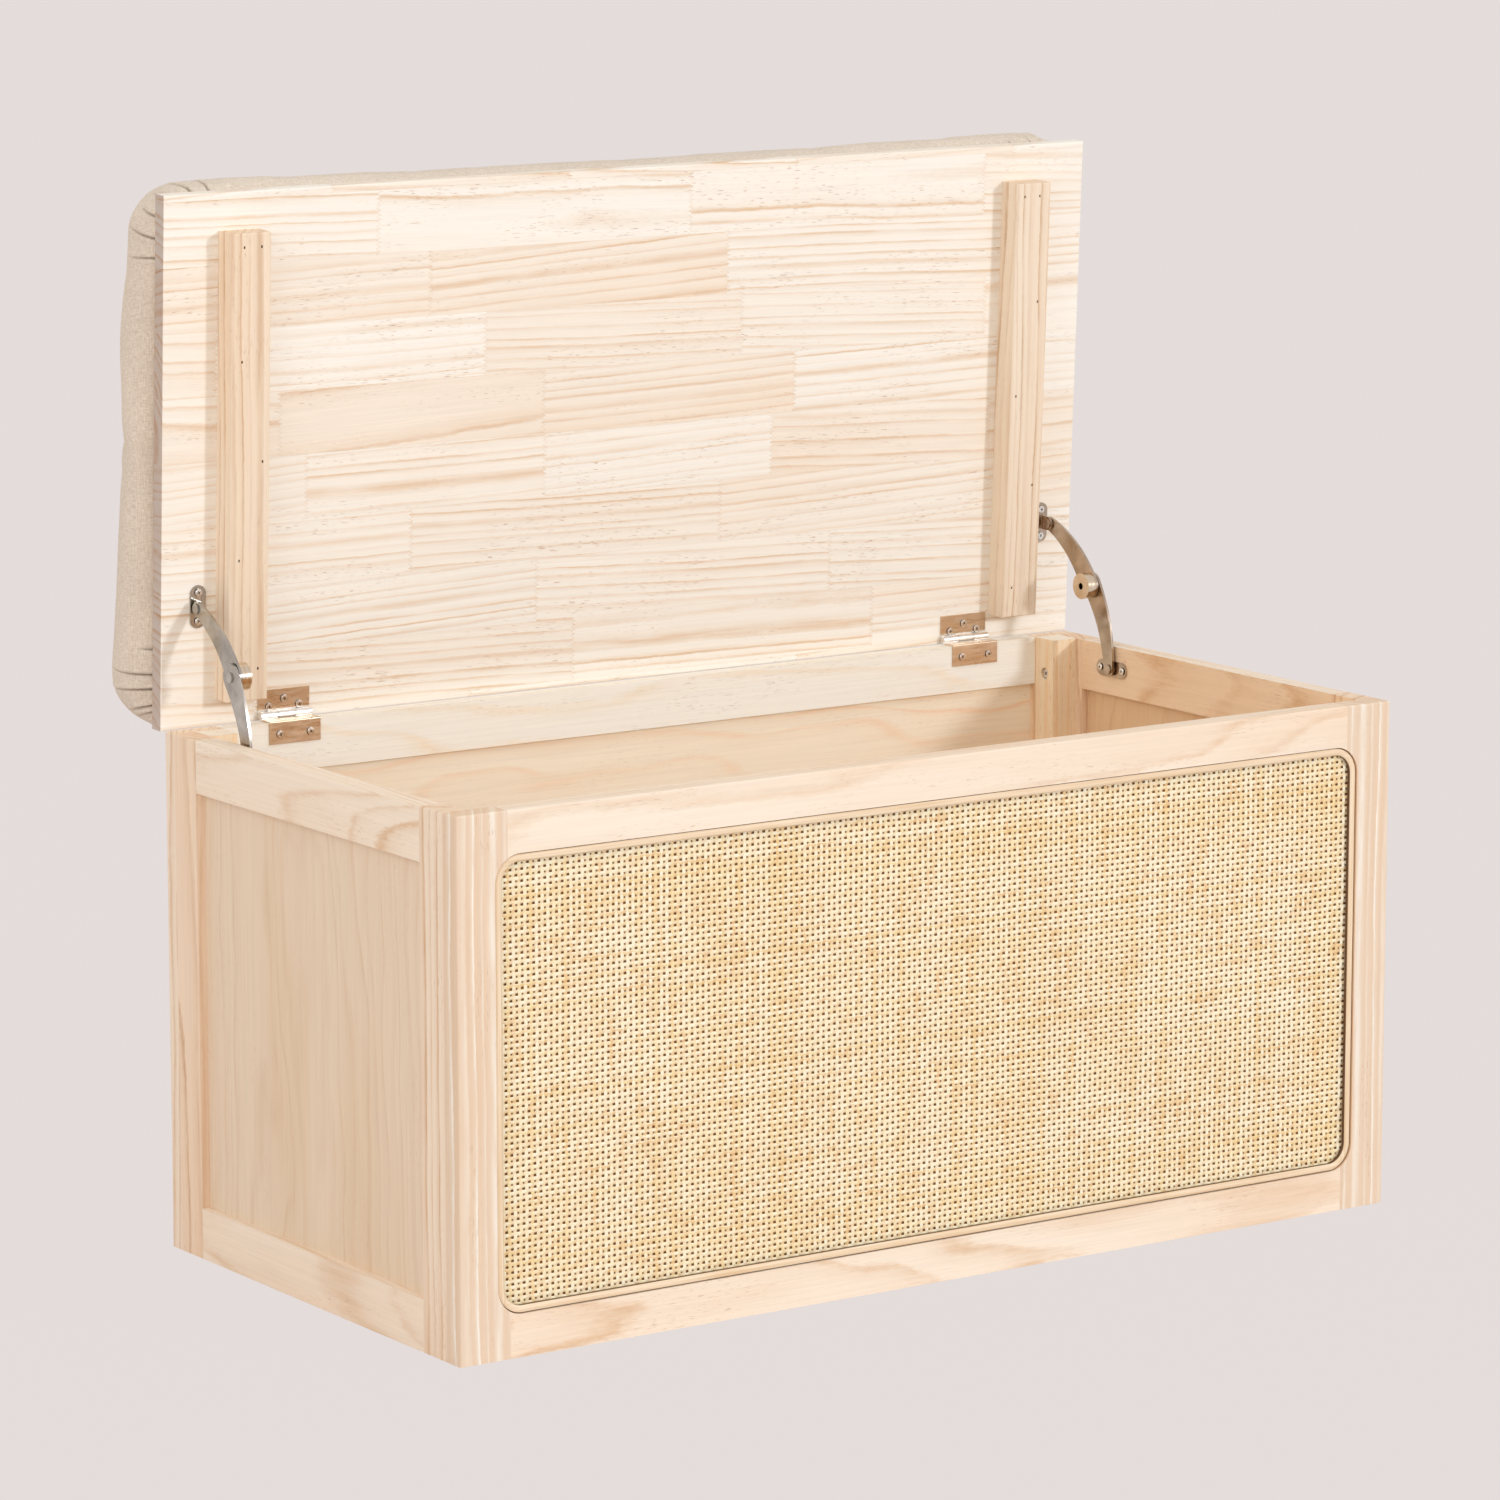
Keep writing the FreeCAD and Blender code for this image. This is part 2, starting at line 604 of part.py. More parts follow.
def hinge_upper_leaf(x):
    """Leaf screwed under the flat lid, ending in the other knuckles."""
    leaf_z = (LID_Z - LEAF_T, LID_Z)
    leaf = block((x, x + HINGE_W), (AXIS_Y - UPPER_LEAF_L, AXIS_Y - KNUCKLE_R - KNUCKLE_PLAY), leaf_z)
    for index, (start, end) in enumerate(knuckle_spans()):
        if index % 2 == 0:
            continue
        span = (x + start + KNUCKLE_PLAY, x + end)
        knuckle = rod(FreeCAD.Vector(span[0], AXIS_Y, AXIS_Z), X_AXIS, KNUCKLE_R, span[1] - span[0])
        tongue = block(span, (AXIS_Y - TONGUE_L, AXIS_Y), leaf_z)
        leaf = leaf.fuse(knuckle).fuse(tongue)
    for seat, axis in upper_leaf_screws(x):
        leaf = leaf.cut(pilot(seat, axis, SCREW_SHANK_R, LEAF_T + 1.0))
    return leaf.cut(hinge_bore(x)).removeSplitter()


def lower_leaf_screws(x):
    """Seats and directions of the two screws into the rear rail."""
    z = BODY_H - FLANGE_SCREW_DROP
    y = WELL_REAR - LEAF_T
    return [(FreeCAD.Vector(x + at, y, z), Y_AXIS) for at in (LEAF_SCREW_EDGE, HINGE_W - LEAF_SCREW_EDGE)]


def upper_leaf_screws(x):
    """Seats and directions of the three screws into the lid, in a triangle."""
    near, far = LEAF_SCREW_ROWS
    places = ((LEAF_SCREW_EDGE, near), (HINGE_W / 2, far), (HINGE_W - LEAF_SCREW_EDGE, near))
    return [(FreeCAD.Vector(x + at, AXIS_Y - row, LID_Z - LEAF_T), Z_AXIS) for at, row in places]


def stay_x(inset):
    """Place across the trunk of a layer of the left stay, inset from the side frame's inner face."""
    return -SIDE_IN + inset


def stay_pivots():
    """Left stay's pivots with the lid open: on the lid, at the elbow and on the side rail, as (y, z)."""
    turn = math.radians(-LID_OPEN_ANGLE)
    cosine, sine = math.cos(turn), math.sin(turn)
    back = -STAY_PIVOT_ALONG
    up = LID_RISE - STAY_PIVOT_DROP
    lid = (AXIS_Y + back * cosine - up * sine, AXIS_Z + back * sine + up * cosine)
    elbow = (FRONT_Y + STAY_ELBOW_DEPTH, BODY_H + STAY_ELBOW_RISE)
    foot = (FRONT_Y + STAY_FOOT_DEPTH, BODY_H - STAY_FOOT_DROP)
    return lid, elbow, foot


def curved_arm(start, end, start_r, mid_r, end_r, sag, x):
    """Flat arm between two pivots, bowed to the left of the way from start to end; x is its outer face."""
    y0, z0 = start
    y1, z1 = end
    span = math.hypot(y1 - y0, z1 - z0)
    along = ((y1 - y0) / span, (z1 - z0) / span)
    side = (-along[1], along[0])
    tilt = 2 * math.atan(2 * sag / span)

    def point(base, direction, reach):
        return FreeCAD.Vector(x, base[0] + direction[0] * reach, base[1] + direction[1] * reach)

    def turned(direction, angle):
        c, s = math.cos(angle), math.sin(angle)
        return (direction[0] * c - direction[1] * s, direction[0] * s + direction[1] * c)

    middle = ((y0 + y1) / 2 + side[0] * sag, (z0 + z1) / 2 + side[1] * sag)
    start_side = turned(side, tilt)
    end_side = turned(side, -tilt)
    start_outer, start_inner = point(start, start_side, start_r), point(start, start_side, -start_r)
    end_outer, end_inner = point(end, end_side, end_r), point(end, end_side, -end_r)
    start_tip = point(start, turned(start_side, math.pi / 2), start_r)
    end_tip = point(end, turned(end_side, -math.pi / 2), end_r)
    curves = (
        Part.Arc(start_outer, point(middle, side, mid_r), end_outer),
        Part.Arc(end_outer, end_tip, end_inner),
        Part.Arc(end_inner, point(middle, side, -mid_r), start_inner),
        Part.Arc(start_inner, start_tip, start_outer),
    )
    wire = Part.Wire([curve.toShape() for curve in curves])
    return Part.Face(wire).extrude(X_AXIS * ARM_T)


def stay_arms():
    """Lower and upper arm of the left stay, and the spring drum on the elbow."""
    lid, elbow, foot = stay_pivots()
    lower_x = stay_x(LOWER_ARM_INSET)
    upper_x = stay_x(UPPER_ARM_INSET)
    hole_r = STAY_PIN_R + STAY_PIN_PLAY
    lower = curved_arm(foot, elbow, ARM_END_R, ARM_MID_R, ARM_ELBOW_R, LOWER_ARM_SAG, lower_x)
    lower = lower.cut(rod(FreeCAD.Vector(lower_x - ARM_T, *foot), X_AXIS, hole_r, 3 * ARM_T))
    rivet = prism(FreeCAD.Vector(lower_x - RIVET_H, *elbow), X_AXIS, RIVET_R, RIVET_H, HEAD_SIDES)
    lower = lower.fuse(rivet)
    upper = curved_arm(elbow, lid, ARM_ELBOW_R, ARM_MID_R, ARM_END_R, UPPER_ARM_SAG, upper_x)
    upper = upper.cut(rod(FreeCAD.Vector(upper_x - ARM_T, *lid), X_AXIS, hole_r, 3 * ARM_T))
    return lower, upper, spring_drum(upper_x + ARM_T, elbow)


def spring_drum(x, elbow):
    """Drum of the stay's spring, turned, with the hole over its rivet."""
    floor = DRUM_L - DRUM_HOLE_DEPTH
    cup = ((DRUM_L, DRUM_HOLE_R), (floor, DRUM_HOLE_R), (floor, 0))
    profile = ((0, 0), (0, DRUM_R), (DRUM_L, DRUM_R), *cup, (0, 0))
    base = FreeCAD.Vector(x, *elbow)
    wire = Part.makePolygon([base + FreeCAD.Vector(along, out, 0) for along, out in profile])
    return Part.Face(wire).revolve(base, X_AXIS, 360)


def oval_plate(centre, along, across, normal, length, width, thickness):
    """Flat plate with round ends; normal points away from what it is fixed to."""
    radius = width / 2
    reach = length / 2 - radius
    edges = []
    corners = []
    for sign in (1, -1):
        end = centre + along * (sign * reach)
        first = end + across * (sign * radius)
        tip = end + along * (sign * radius)
        last = end - across * (sign * radius)
        edges.append(Part.Arc(first, tip, last).toShape())
        corners.append((first, last))
    edges.insert(1, Part.makeLine(corners[0][1], corners[1][0]))
    edges.append(Part.makeLine(corners[1][1], corners[0][0]))
    return Part.Face(Part.Wire(edges)).extrude(normal * thickness)


def body_bracket_screws():
    """Seats of the screws of the left body bracket."""
    foot = stay_pivots()[2]
    seats = []
    for sign in (-1, 1):
        seats.append(FreeCAD.Vector(stay_x(BRACKET_T), foot[0] + sign * BODY_SCREW_SPAN / 2, foot[1]))
    return seats


def body_bracket():
    """Plate on the side rail with the post that the lower arm turns on."""
    foot = stay_pivots()[2]
    root_x = stay_x(BRACKET_T / 2)
    head_x = stay_x(LOWER_ARM_INSET + ARM_T + ARM_PLAY)
    root = FreeCAD.Vector(root_x, *foot)
    plate_centre = FreeCAD.Vector(stay_x(0.0), *foot)
    plate = oval_plate(plate_centre, Y_AXIS, Z_AXIS, X_AXIS, BODY_BRACKET_L, BRACKET_W, BRACKET_T)
    collar = prism(root, X_AXIS, RIVET_R, LOWER_ARM_INSET - BRACKET_T / 2 - ARM_PLAY, HEAD_SIDES)
    post = rod(root, X_AXIS, STAY_PIN_R, head_x - root_x)
    head = prism(FreeCAD.Vector(head_x, *foot), X_AXIS, RIVET_R, RIVET_H, HEAD_SIDES)
    bracket = plate.fuse([collar, post, head])
    for seat in body_bracket_screws():
        bracket = bracket.cut(pilot(seat, -X_AXIS, SCREW_SHANK_R, 2 * BRACKET_T))
    return bracket.removeSplitter()


def lid_bracket_screws():
    """Seats of the screws of the left lid bracket, on the flat lid."""
    y = AXIS_Y - STAY_PIVOT_ALONG
    x = stay_x(LID_BRACKET_INSET)
    seats = []
    for sign in (-1, 1):
        seats.append(FreeCAD.Vector(x, y + sign * LID_SCREW_SPAN / 2, LID_Z - BRACKET_T))
    return seats


def lid_bracket():
    """Plate under the flat lid with a turned-down ear and the rivet that holds the upper arm."""
    y = AXIS_Y - STAY_PIVOT_ALONG
    pivot_z = LID_Z - STAY_PIVOT_DROP
    ear_x = stay_x(UPPER_ARM_INSET + ARM_T + TAB_GAP)
    pin_x = stay_x(UPPER_ARM_INSET - ARM_PLAY)
    centre = FreeCAD.Vector(stay_x(LID_BRACKET_INSET), y, LID_Z)
    plate = oval_plate(centre, Y_AXIS, X_AXIS, -Z_AXIS, LID_BRACKET_L, BRACKET_W, BRACKET_T)
    ear = rod(FreeCAD.Vector(ear_x, y, pivot_z), X_AXIS, ARM_END_R, BRACKET_T)
    web_z = (pivot_z, LID_Z - BRACKET_T / 2)
    web = block((ear_x, ear_x + BRACKET_T), (y - ARM_END_R, y + ARM_END_R), web_z)
    pin = rod(FreeCAD.Vector(pin_x, y, pivot_z), X_AXIS, STAY_PIN_R, ear_x - pin_x + BRACKET_T)
    outer_head = prism(FreeCAD.Vector(pin_x - RIVET_H, y, pivot_z), X_AXIS, RIVET_R, RIVET_H, HEAD_SIDES)
    inner_head = prism(FreeCAD.Vector(ear_x + BRACKET_T, y, pivot_z), X_AXIS, RIVET_R, RIVET_H, HEAD_SIDES)
    bracket = plate.fuse([ear, web, pin, outer_head, inner_head])
    for seat in lid_bracket_screws():
        bracket = bracket.cut(pilot(seat, Z_AXIS, SCREW_SHANK_R, 2 * BRACKET_T))
    return bracket.removeSplitter()


def build():
    """Make every piece, bore the wood for its fasteners, and write the files."""
    os.makedirs("parts", exist_ok=True)
    pieces = {}
    pieces.update(front_frame())
    pieces.update(cane_panel())
    pieces["bottom_panel"] = bottom_panel()

    block_screw_group, block_holes = block_screws()
    bracket_screws = [screw(seat, -X_AXIS) for seat in body_bracket_screws()]
    bracket_holes = [pilot(seat, -X_AXIS) for seat in body_bracket_screws()]
    left_side = side_frame()
    left_side.update(corner_blocks())
    for name, shape in left_side.items():
        if name.endswith("stile"):
            shape = shape.cut(block_holes)
        if name == "side_top_rail":
            shape = shape.cut(bracket_holes)
        pieces["left_" + name] = shape
        pieces["right_" + name] = mirrored(shape)
    pieces["corner_block_screws"] = block_screw_group

    hinge_xs = {"left": -HINGE_X - HINGE_W / 2, "right": HINGE_X - HINGE_W / 2}
    rail_screws = []
    rail_holes = []
    leaf_screws = []
    leaf_holes = []
    for side, x in hinge_xs.items():
        pieces[side + "_hinge_lower_leaf"] = hinge_lower_leaf(x)
        pieces[side + "_hinge_pin"] = hinge_pin(x)
        pieces[side + "_hinge_upper_leaf"] = opened(hinge_upper_leaf(x))
        rail_screws += [screw(*place) for place in lower_leaf_screws(x)]
        rail_holes += [pilot(*place) for place in lower_leaf_screws(x)]
        leaf_screws += [opened(screw(*place)) for place in upper_leaf_screws(x)]
        leaf_holes += [pilot(*place) for place in upper_leaf_screws(x)]
    rear = rear_frame()
    rear["rear_top_rail"] = rear["rear_top_rail"].cut(rail_holes)
    pieces.update(rear)
    pieces["hinge_rail_screws"] = Part.Compound(rail_screws)
    pieces["hinge_lid_screws"] = Part.Compound(leaf_screws)

    brads, brad_holes = batten_brads()
    lid_seats = lid_bracket_screws()
    stay_lid_screws = [screw(seat, Z_AXIS) for seat in lid_seats]
    stay_lid_holes = [pilot(seat, Z_AXIS) for seat in lid_seats]
    left_lid_holes = brad_holes + stay_lid_holes
    board = lid_board().cut(left_lid_holes + [mirrored(hole) for hole in left_lid_holes] + leaf_holes)
    left_batten = batten().cut(brad_holes)
    pieces["lid_board"] = opened(board)
    pieces["left_batten"] = opened(left_batten)
    pieces["right_batten"] = opened(mirrored(left_batten))
    brads += [mirrored(piece) for piece in brads]
    pieces["batten_brads"] = Part.Compound([opened(piece) for piece in brads])
    pieces["cushion"] = opened(cushion())

    lower, upper, drum = stay_arms()
    foot_bracket = body_bracket()
    top_bracket = lid_bracket()
    for side in ("left", "right"):
        twin = mirrored if side == "right" else (lambda shape: shape)
        pieces[side + "_stay_body_bracket"] = twin(foot_bracket)
        pieces[side + "_stay_lid_bracket"] = opened(twin(top_bracket))
        pieces[side + "_stay_lower_arm"] = twin(lower)
        pieces[side + "_stay_upper_arm"] = twin(upper)
        pieces[side + "_stay_spring_drum"] = twin(drum)
    bracket_screws += [mirrored(piece) for piece in bracket_screws]
    pieces["stay_body_screws"] = Part.Compound(bracket_screws)
    stay_lid_screws += [mirrored(piece) for piece in stay_lid_screws]
    pieces["stay_lid_screws"] = Part.Compound([opened(piece) for piece in stay_lid_screws])

    for node, shape in pieces.items():
        save(node, shape)
    return pieces


build()
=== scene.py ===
"""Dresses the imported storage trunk: pine boards, woven cane, a linen pad and plated hardware."""

import json
import logging
import math
import random
from collections.abc import Callable, Iterator
from contextlib import contextmanager
from dataclasses import dataclass, replace
from enum import Enum
from functools import cache

import bpy
from mathutils import Matrix, Vector, noise

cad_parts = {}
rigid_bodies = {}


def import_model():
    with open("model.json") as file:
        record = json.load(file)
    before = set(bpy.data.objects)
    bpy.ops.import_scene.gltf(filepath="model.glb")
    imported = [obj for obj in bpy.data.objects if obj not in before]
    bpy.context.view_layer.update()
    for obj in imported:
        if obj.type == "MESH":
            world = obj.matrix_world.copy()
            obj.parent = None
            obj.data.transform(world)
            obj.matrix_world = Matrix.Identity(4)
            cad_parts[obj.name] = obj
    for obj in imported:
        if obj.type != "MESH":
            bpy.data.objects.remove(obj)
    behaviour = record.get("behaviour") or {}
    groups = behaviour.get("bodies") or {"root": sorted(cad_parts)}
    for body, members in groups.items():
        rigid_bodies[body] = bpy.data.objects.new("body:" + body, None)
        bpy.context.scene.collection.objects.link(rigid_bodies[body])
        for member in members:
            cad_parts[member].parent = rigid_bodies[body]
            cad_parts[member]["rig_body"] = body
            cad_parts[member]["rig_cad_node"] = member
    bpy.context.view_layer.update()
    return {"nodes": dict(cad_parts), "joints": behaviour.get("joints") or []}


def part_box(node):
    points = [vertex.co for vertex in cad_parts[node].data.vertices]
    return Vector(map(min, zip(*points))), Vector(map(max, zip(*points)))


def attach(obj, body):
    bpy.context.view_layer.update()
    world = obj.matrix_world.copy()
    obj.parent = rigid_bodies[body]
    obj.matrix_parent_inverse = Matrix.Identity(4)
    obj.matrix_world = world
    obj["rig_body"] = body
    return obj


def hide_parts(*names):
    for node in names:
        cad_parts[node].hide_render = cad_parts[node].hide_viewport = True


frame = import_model()

log = logging.getLogger("trunk")

Colour = tuple[int, int, int]
Pair = tuple[float, float]
Triple = tuple[float, float, float]
Piece = bpy.types.Object

LID_OPEN = math.radians(87.4)
CASE_MIDDLE = 0.032  # How far the case's middle is in front of the scene's, in metres.
MERGE = 0.00005
UPWARD = Vector((0.0, 0.0, 1.0))


class Grain(Enum):
    """The way a board's grain runs."""

    ACROSS = (1.0, 0.0, 0.0)
    DEEP = (0.0, 1.0, 0.0)
    UP = (0.0, 0.0, 1.0)
    LID_DEEP = (0.0, -math.cos(LID_OPEN), math.sin(LID_OPEN))


class Face(Enum):
    """The face of a board that looks outwards."""

    FRONT = (0.0, -1.0, 0.0)
    REAR = (0.0, 1.0, 0.0)
    LEFT = (-1.0, 0.0, 0.0)
    RIGHT = (1.0, 0.0, 0.0)
    TOP = (0.0, 0.0, 1.0)
    UNDER_LID = (0.0, -math.sin(LID_OPEN), -math.cos(LID_OPEN))


class Body(Enum):
    """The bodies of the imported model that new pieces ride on."""

    CASE = "case"
    LID = "lid"


def linear(colour: Colour) -> tuple[float, float, float, float]:
    """Turns a colour as a screen shows it into the linear values a shader takes.

    Args:
        colour: Its red, green and blue, from 0 to 255.

    Returns:
        The linear colour with an alpha of 1.
    """
    shares = (value / 255 for value in colour)
    return (*(share / 12.92 if share <= 0.04045 else ((share + 0.055) / 1.055) ** 2.4
              for share in shares), 1.0)


def cleared(owner: bpy.types.Material | bpy.types.World) -> bpy.types.NodeTree:
    """Gives a material or a world a shader tree with nothing in it.

    Args:
        owner: The material or the world.

    Returns:
        The empty tree.
    """
    owner.use_nodes = True
    owner.node_tree.nodes.clear()
    return owner.node_tree


class Graph:
    """Adds nodes to a shader tree and links them."""

    def __init__(self, tree: bpy.types.NodeTree) -> None:
        """Takes the tree that the nodes go into."""
        self.tree = tree

    def node(self, kind: str, **settings: object) -> bpy.types.Node:
        """Adds a node.

        Args:
            kind: The node's type, without its "ShaderNode" prefix.
            settings: Properties to set on the node.

        Returns:
            The new node.
        """
        made = self.tree.nodes.new("ShaderNode" + kind)
        for name, value in settings.items():
            setattr(made, name, value)
        return made

    def feed(self, socket: bpy.types.NodeSocket, value: object) -> None:
        """Links a wire to an input, or sets the input to a constant.

        Args:
            socket: The input.
            value: A wire, a colour as a screen shows it, or another constant.
        """
        if isinstance(value, Wire):
            self.tree.links.new(value.socket, socket)
        else:
            socket.default_value = linear(value) if socket.type == "RGBA" else value

    def feed_named(self, node: bpy.types.Node, **values: object) -> None:
        """Feeds the inputs of a node by their names, with underscores for spaces."""
        for name, value in values.items():
            self.feed(node.inputs[name.replace("_", " ")], value)

    def add(self, kind: str, *values: object, output: int | str = 0,
            **settings: object) -> "Wire":
        """Adds a node and feeds its inputs in order.

        Args:
            kind: The node's type, without its "ShaderNode" prefix.
            values: What its inputs take.
            output: The number or the name of the output that is used.
            settings: Properties to set on the node.

        Returns:
            The output's wire.
        """
        made = self.node(kind, **settings)
        for socket, value in zip(made.inputs, values):
            self.feed(socket, value)
        return Wire(self, made.outputs[output])

    def join(self, *parts: object) -> "Wire":
        """Makes a vector of its first parts, with 0 for the others."""
        return self.add("CombineXYZ", *parts)

    def mix(self, share: object, first: object, second: object, blend: str = "MIX") -> "Wire":
        """Mixes two colours.

        Args:
            share: How much of the second colour there is.
            first: The first colour.
            second: The second colour.
            blend: The way they mix.

        Returns:
            The mixed colour.
        """
        made = self.node("Mix", data_type="RGBA", blend_type=blend)
        for number, value in ((0, share), (6, first), (7, second)):
            self.feed(made.inputs[number], value)
        return Wire(self, made.outputs[2])

    def group(self, tree: bpy.types.NodeTree, **values: object) -> list["Wire"]:
        """Places a node group.

        Args:
            tree: The group.
            values: What its inputs take.

        Returns:
            Its outputs, in order.
        """
        made = self.node("Group", node_tree=tree)
        self.feed_named(made, **values)
        return [Wire(self, socket) for socket in made.outputs]

    def layer(self, share: "Wire", under: bpy.types.Node, over: bpy.types.Node,
              output: str) -> None:
        """Ends the tree with one shader over another.

        Args:
            share: How much of the upper shader there is.
            under: The lower shader.
            over: The upper shader.
            output: The type of the tree's last node.
        """
        mixed = self.add("MixShader", share, *(Wire(self, one.outputs[0]) for one in (under, over)))
        self.feed(self.node(output).inputs[0], mixed)


class Wire:
    """An output socket to reckon with. Operators and methods add nodes to its graph."""

    def __init__(self, graph: Graph, socket: bpy.types.NodeSocket) -> None:
        """Takes the graph and the socket."""
        self.graph, self.socket = graph, socket

    def reckon(self, operation: str, *others: object) -> "Wire":
        """Adds a Math node, or a Vector Math node where the wire is a vector.

        Args:
            operation: The node's operation.
            others: The second number, vector or wire, if there is one.

        Returns:
            The result.
        """
        if self.socket.type == "VALUE":
            return self.graph.add("Math", self, *others, operation=operation)
        others = tuple((other,) * 3 if isinstance(other, float) else other for other in others)
        output = "Value" if operation in ("LENGTH", "DOT_PRODUCT") else "Vector"
        return self.graph.add("VectorMath", self, *others, output=output, operation=operation)

    def __add__(self, other: object) -> "Wire":
        """Adds a wire or a constant."""
        return self.reckon("ADD", other)

    def __sub__(self, other: object) -> "Wire":
        """Takes a wire or a constant away."""
        return self.reckon("SUBTRACT", other)

    def __rsub__(self, other: float) -> "Wire":
        """Takes the wire away from a number."""
        return self.graph.add("Math", other, self, operation="SUBTRACT")

    def __mul__(self, other: object) -> "Wire":
        """Multiplies by a wire or a constant."""
        return self.reckon("MULTIPLY", other)

    def __truediv__(self, other: object) -> "Wire":
        """Divides by a wire or a constant."""
        return self.reckon("DIVIDE", other)

    def __abs__(self) -> "Wire":
        """Drops the sign."""
        return self.reckon("ABSOLUTE")

    def split(self) -> list["Wire"]:
        """Splits a vector into its three parts."""
        node = self.graph.add("SeparateXYZ", self).socket.node
        return [Wire(self.graph, socket) for socket in node.outputs]

    def span(self, low: float, high: float, to_low: float = 0.0, to_high: float = 1.0) -> "Wire":
        """Maps the range from low to high on to that from to_low to to_high, and stays in it."""
        return self.graph.add("MapRange", self, low, high, to_low, to_high)

    def dim(self, shade: "Wire") -> "Wire":
        """Multiplies a colour by a grey."""
        return self.graph.mix(1.0, self, shade, "MULTIPLY")

    def noise(self, scale: Triple, detail: float = 2.0, rough: float = 0.5,
              output: str = "Fac") -> "Wire":
        """Adds a noise on these coordinates, stretched.

        Args:
            scale: How many features there are to a metre on each axis.
            detail: The noise's octaves.
            rough: The share of each finer octave.
            output: Fac for a number, Color for three.

        Returns:
            The noise.
        """
        made = self.graph.node("TexNoise")
        self.graph.feed_named(made, Vector=self * scale, Scale=1.0, Detail=detail, Roughness=rough)
        return Wire(self.graph, made.outputs[output])

    def stray(self, scale: Triple, rough: float, reach: object) -> "Wire":
        """Gives a noise round 0 on each axis, as large as the reach."""
        return (self.noise(scale, 2.0, rough, "Color") - 0.5) * reach

    def chance(self) -> list["Wire"]:
        """Gives a random number and a random colour for each whole number, or pair of them.

        Returns:
            The number and the colour.
        """
        flat = self.socket.type == "VALUE"
        made = self.graph.node("TexWhiteNoise", noise_dimensions="1D" if flat else "2D")
        self.graph.feed(made.inputs["W" if flat else "Vector"], self)
        return [Wire(self.graph, made.outputs[name]) for name in ("Value", "Color")]

    def ramp(self, *stops: Pair) -> "Wire":
        """Runs the wire through a ramp.

        Args:
            stops: Pairs of position and height.

        Returns:
            The ramp's height.
        """
        colour = self.graph.add("ValToRGB", self)
        bar = colour.socket.node.color_ramp
        while len(bar.elements) < len(stops):
            bar.elements.new(0.5)
        for element, (position, grey) in zip(bar.elements, stops):
            element.position = position
            element.color = (grey, grey, grey, 1.0)
        return self.graph.add("RGBToBW", colour)


class Group(Graph):
    """The tree of a shader group, with its sockets."""

    def __init__(self, name: str, inputs: tuple[str, ...], outputs: tuple[str, ...]) -> None:
        """Makes the group. A socket named Vector is a vector, and the others are numbers.

        Args:
            name: The group's name.
            inputs: The names of its inputs.
            outputs: The names of its outputs.
        """
        super().__init__(bpy.data.node_groups.new(name, "ShaderNodeTree"))
        for way, labels in (("INPUT", inputs), ("OUTPUT", outputs)):
            for label in labels:
                kind = "NodeSocketVector" if label == "Vector" else "NodeSocketFloat"
                self.tree.interface.new_socket(name=label, in_out=way, socket_type=kind)
        given = self.tree.nodes.new("NodeGroupInput").outputs
        self.given = [Wire(self, given[label]) for label in inputs]
        self.result = self.tree.nodes.new("NodeGroupOutput")

    def close(self, *values: Wire) -> bpy.types.NodeTree:
        """Feeds the group's outputs in order.

        Args:
            values: What they take.

        Returns:
            The finished group.
        """
        for socket, value in zip(self.result.inputs, values):
            self.feed(socket, value)
        return self.tree


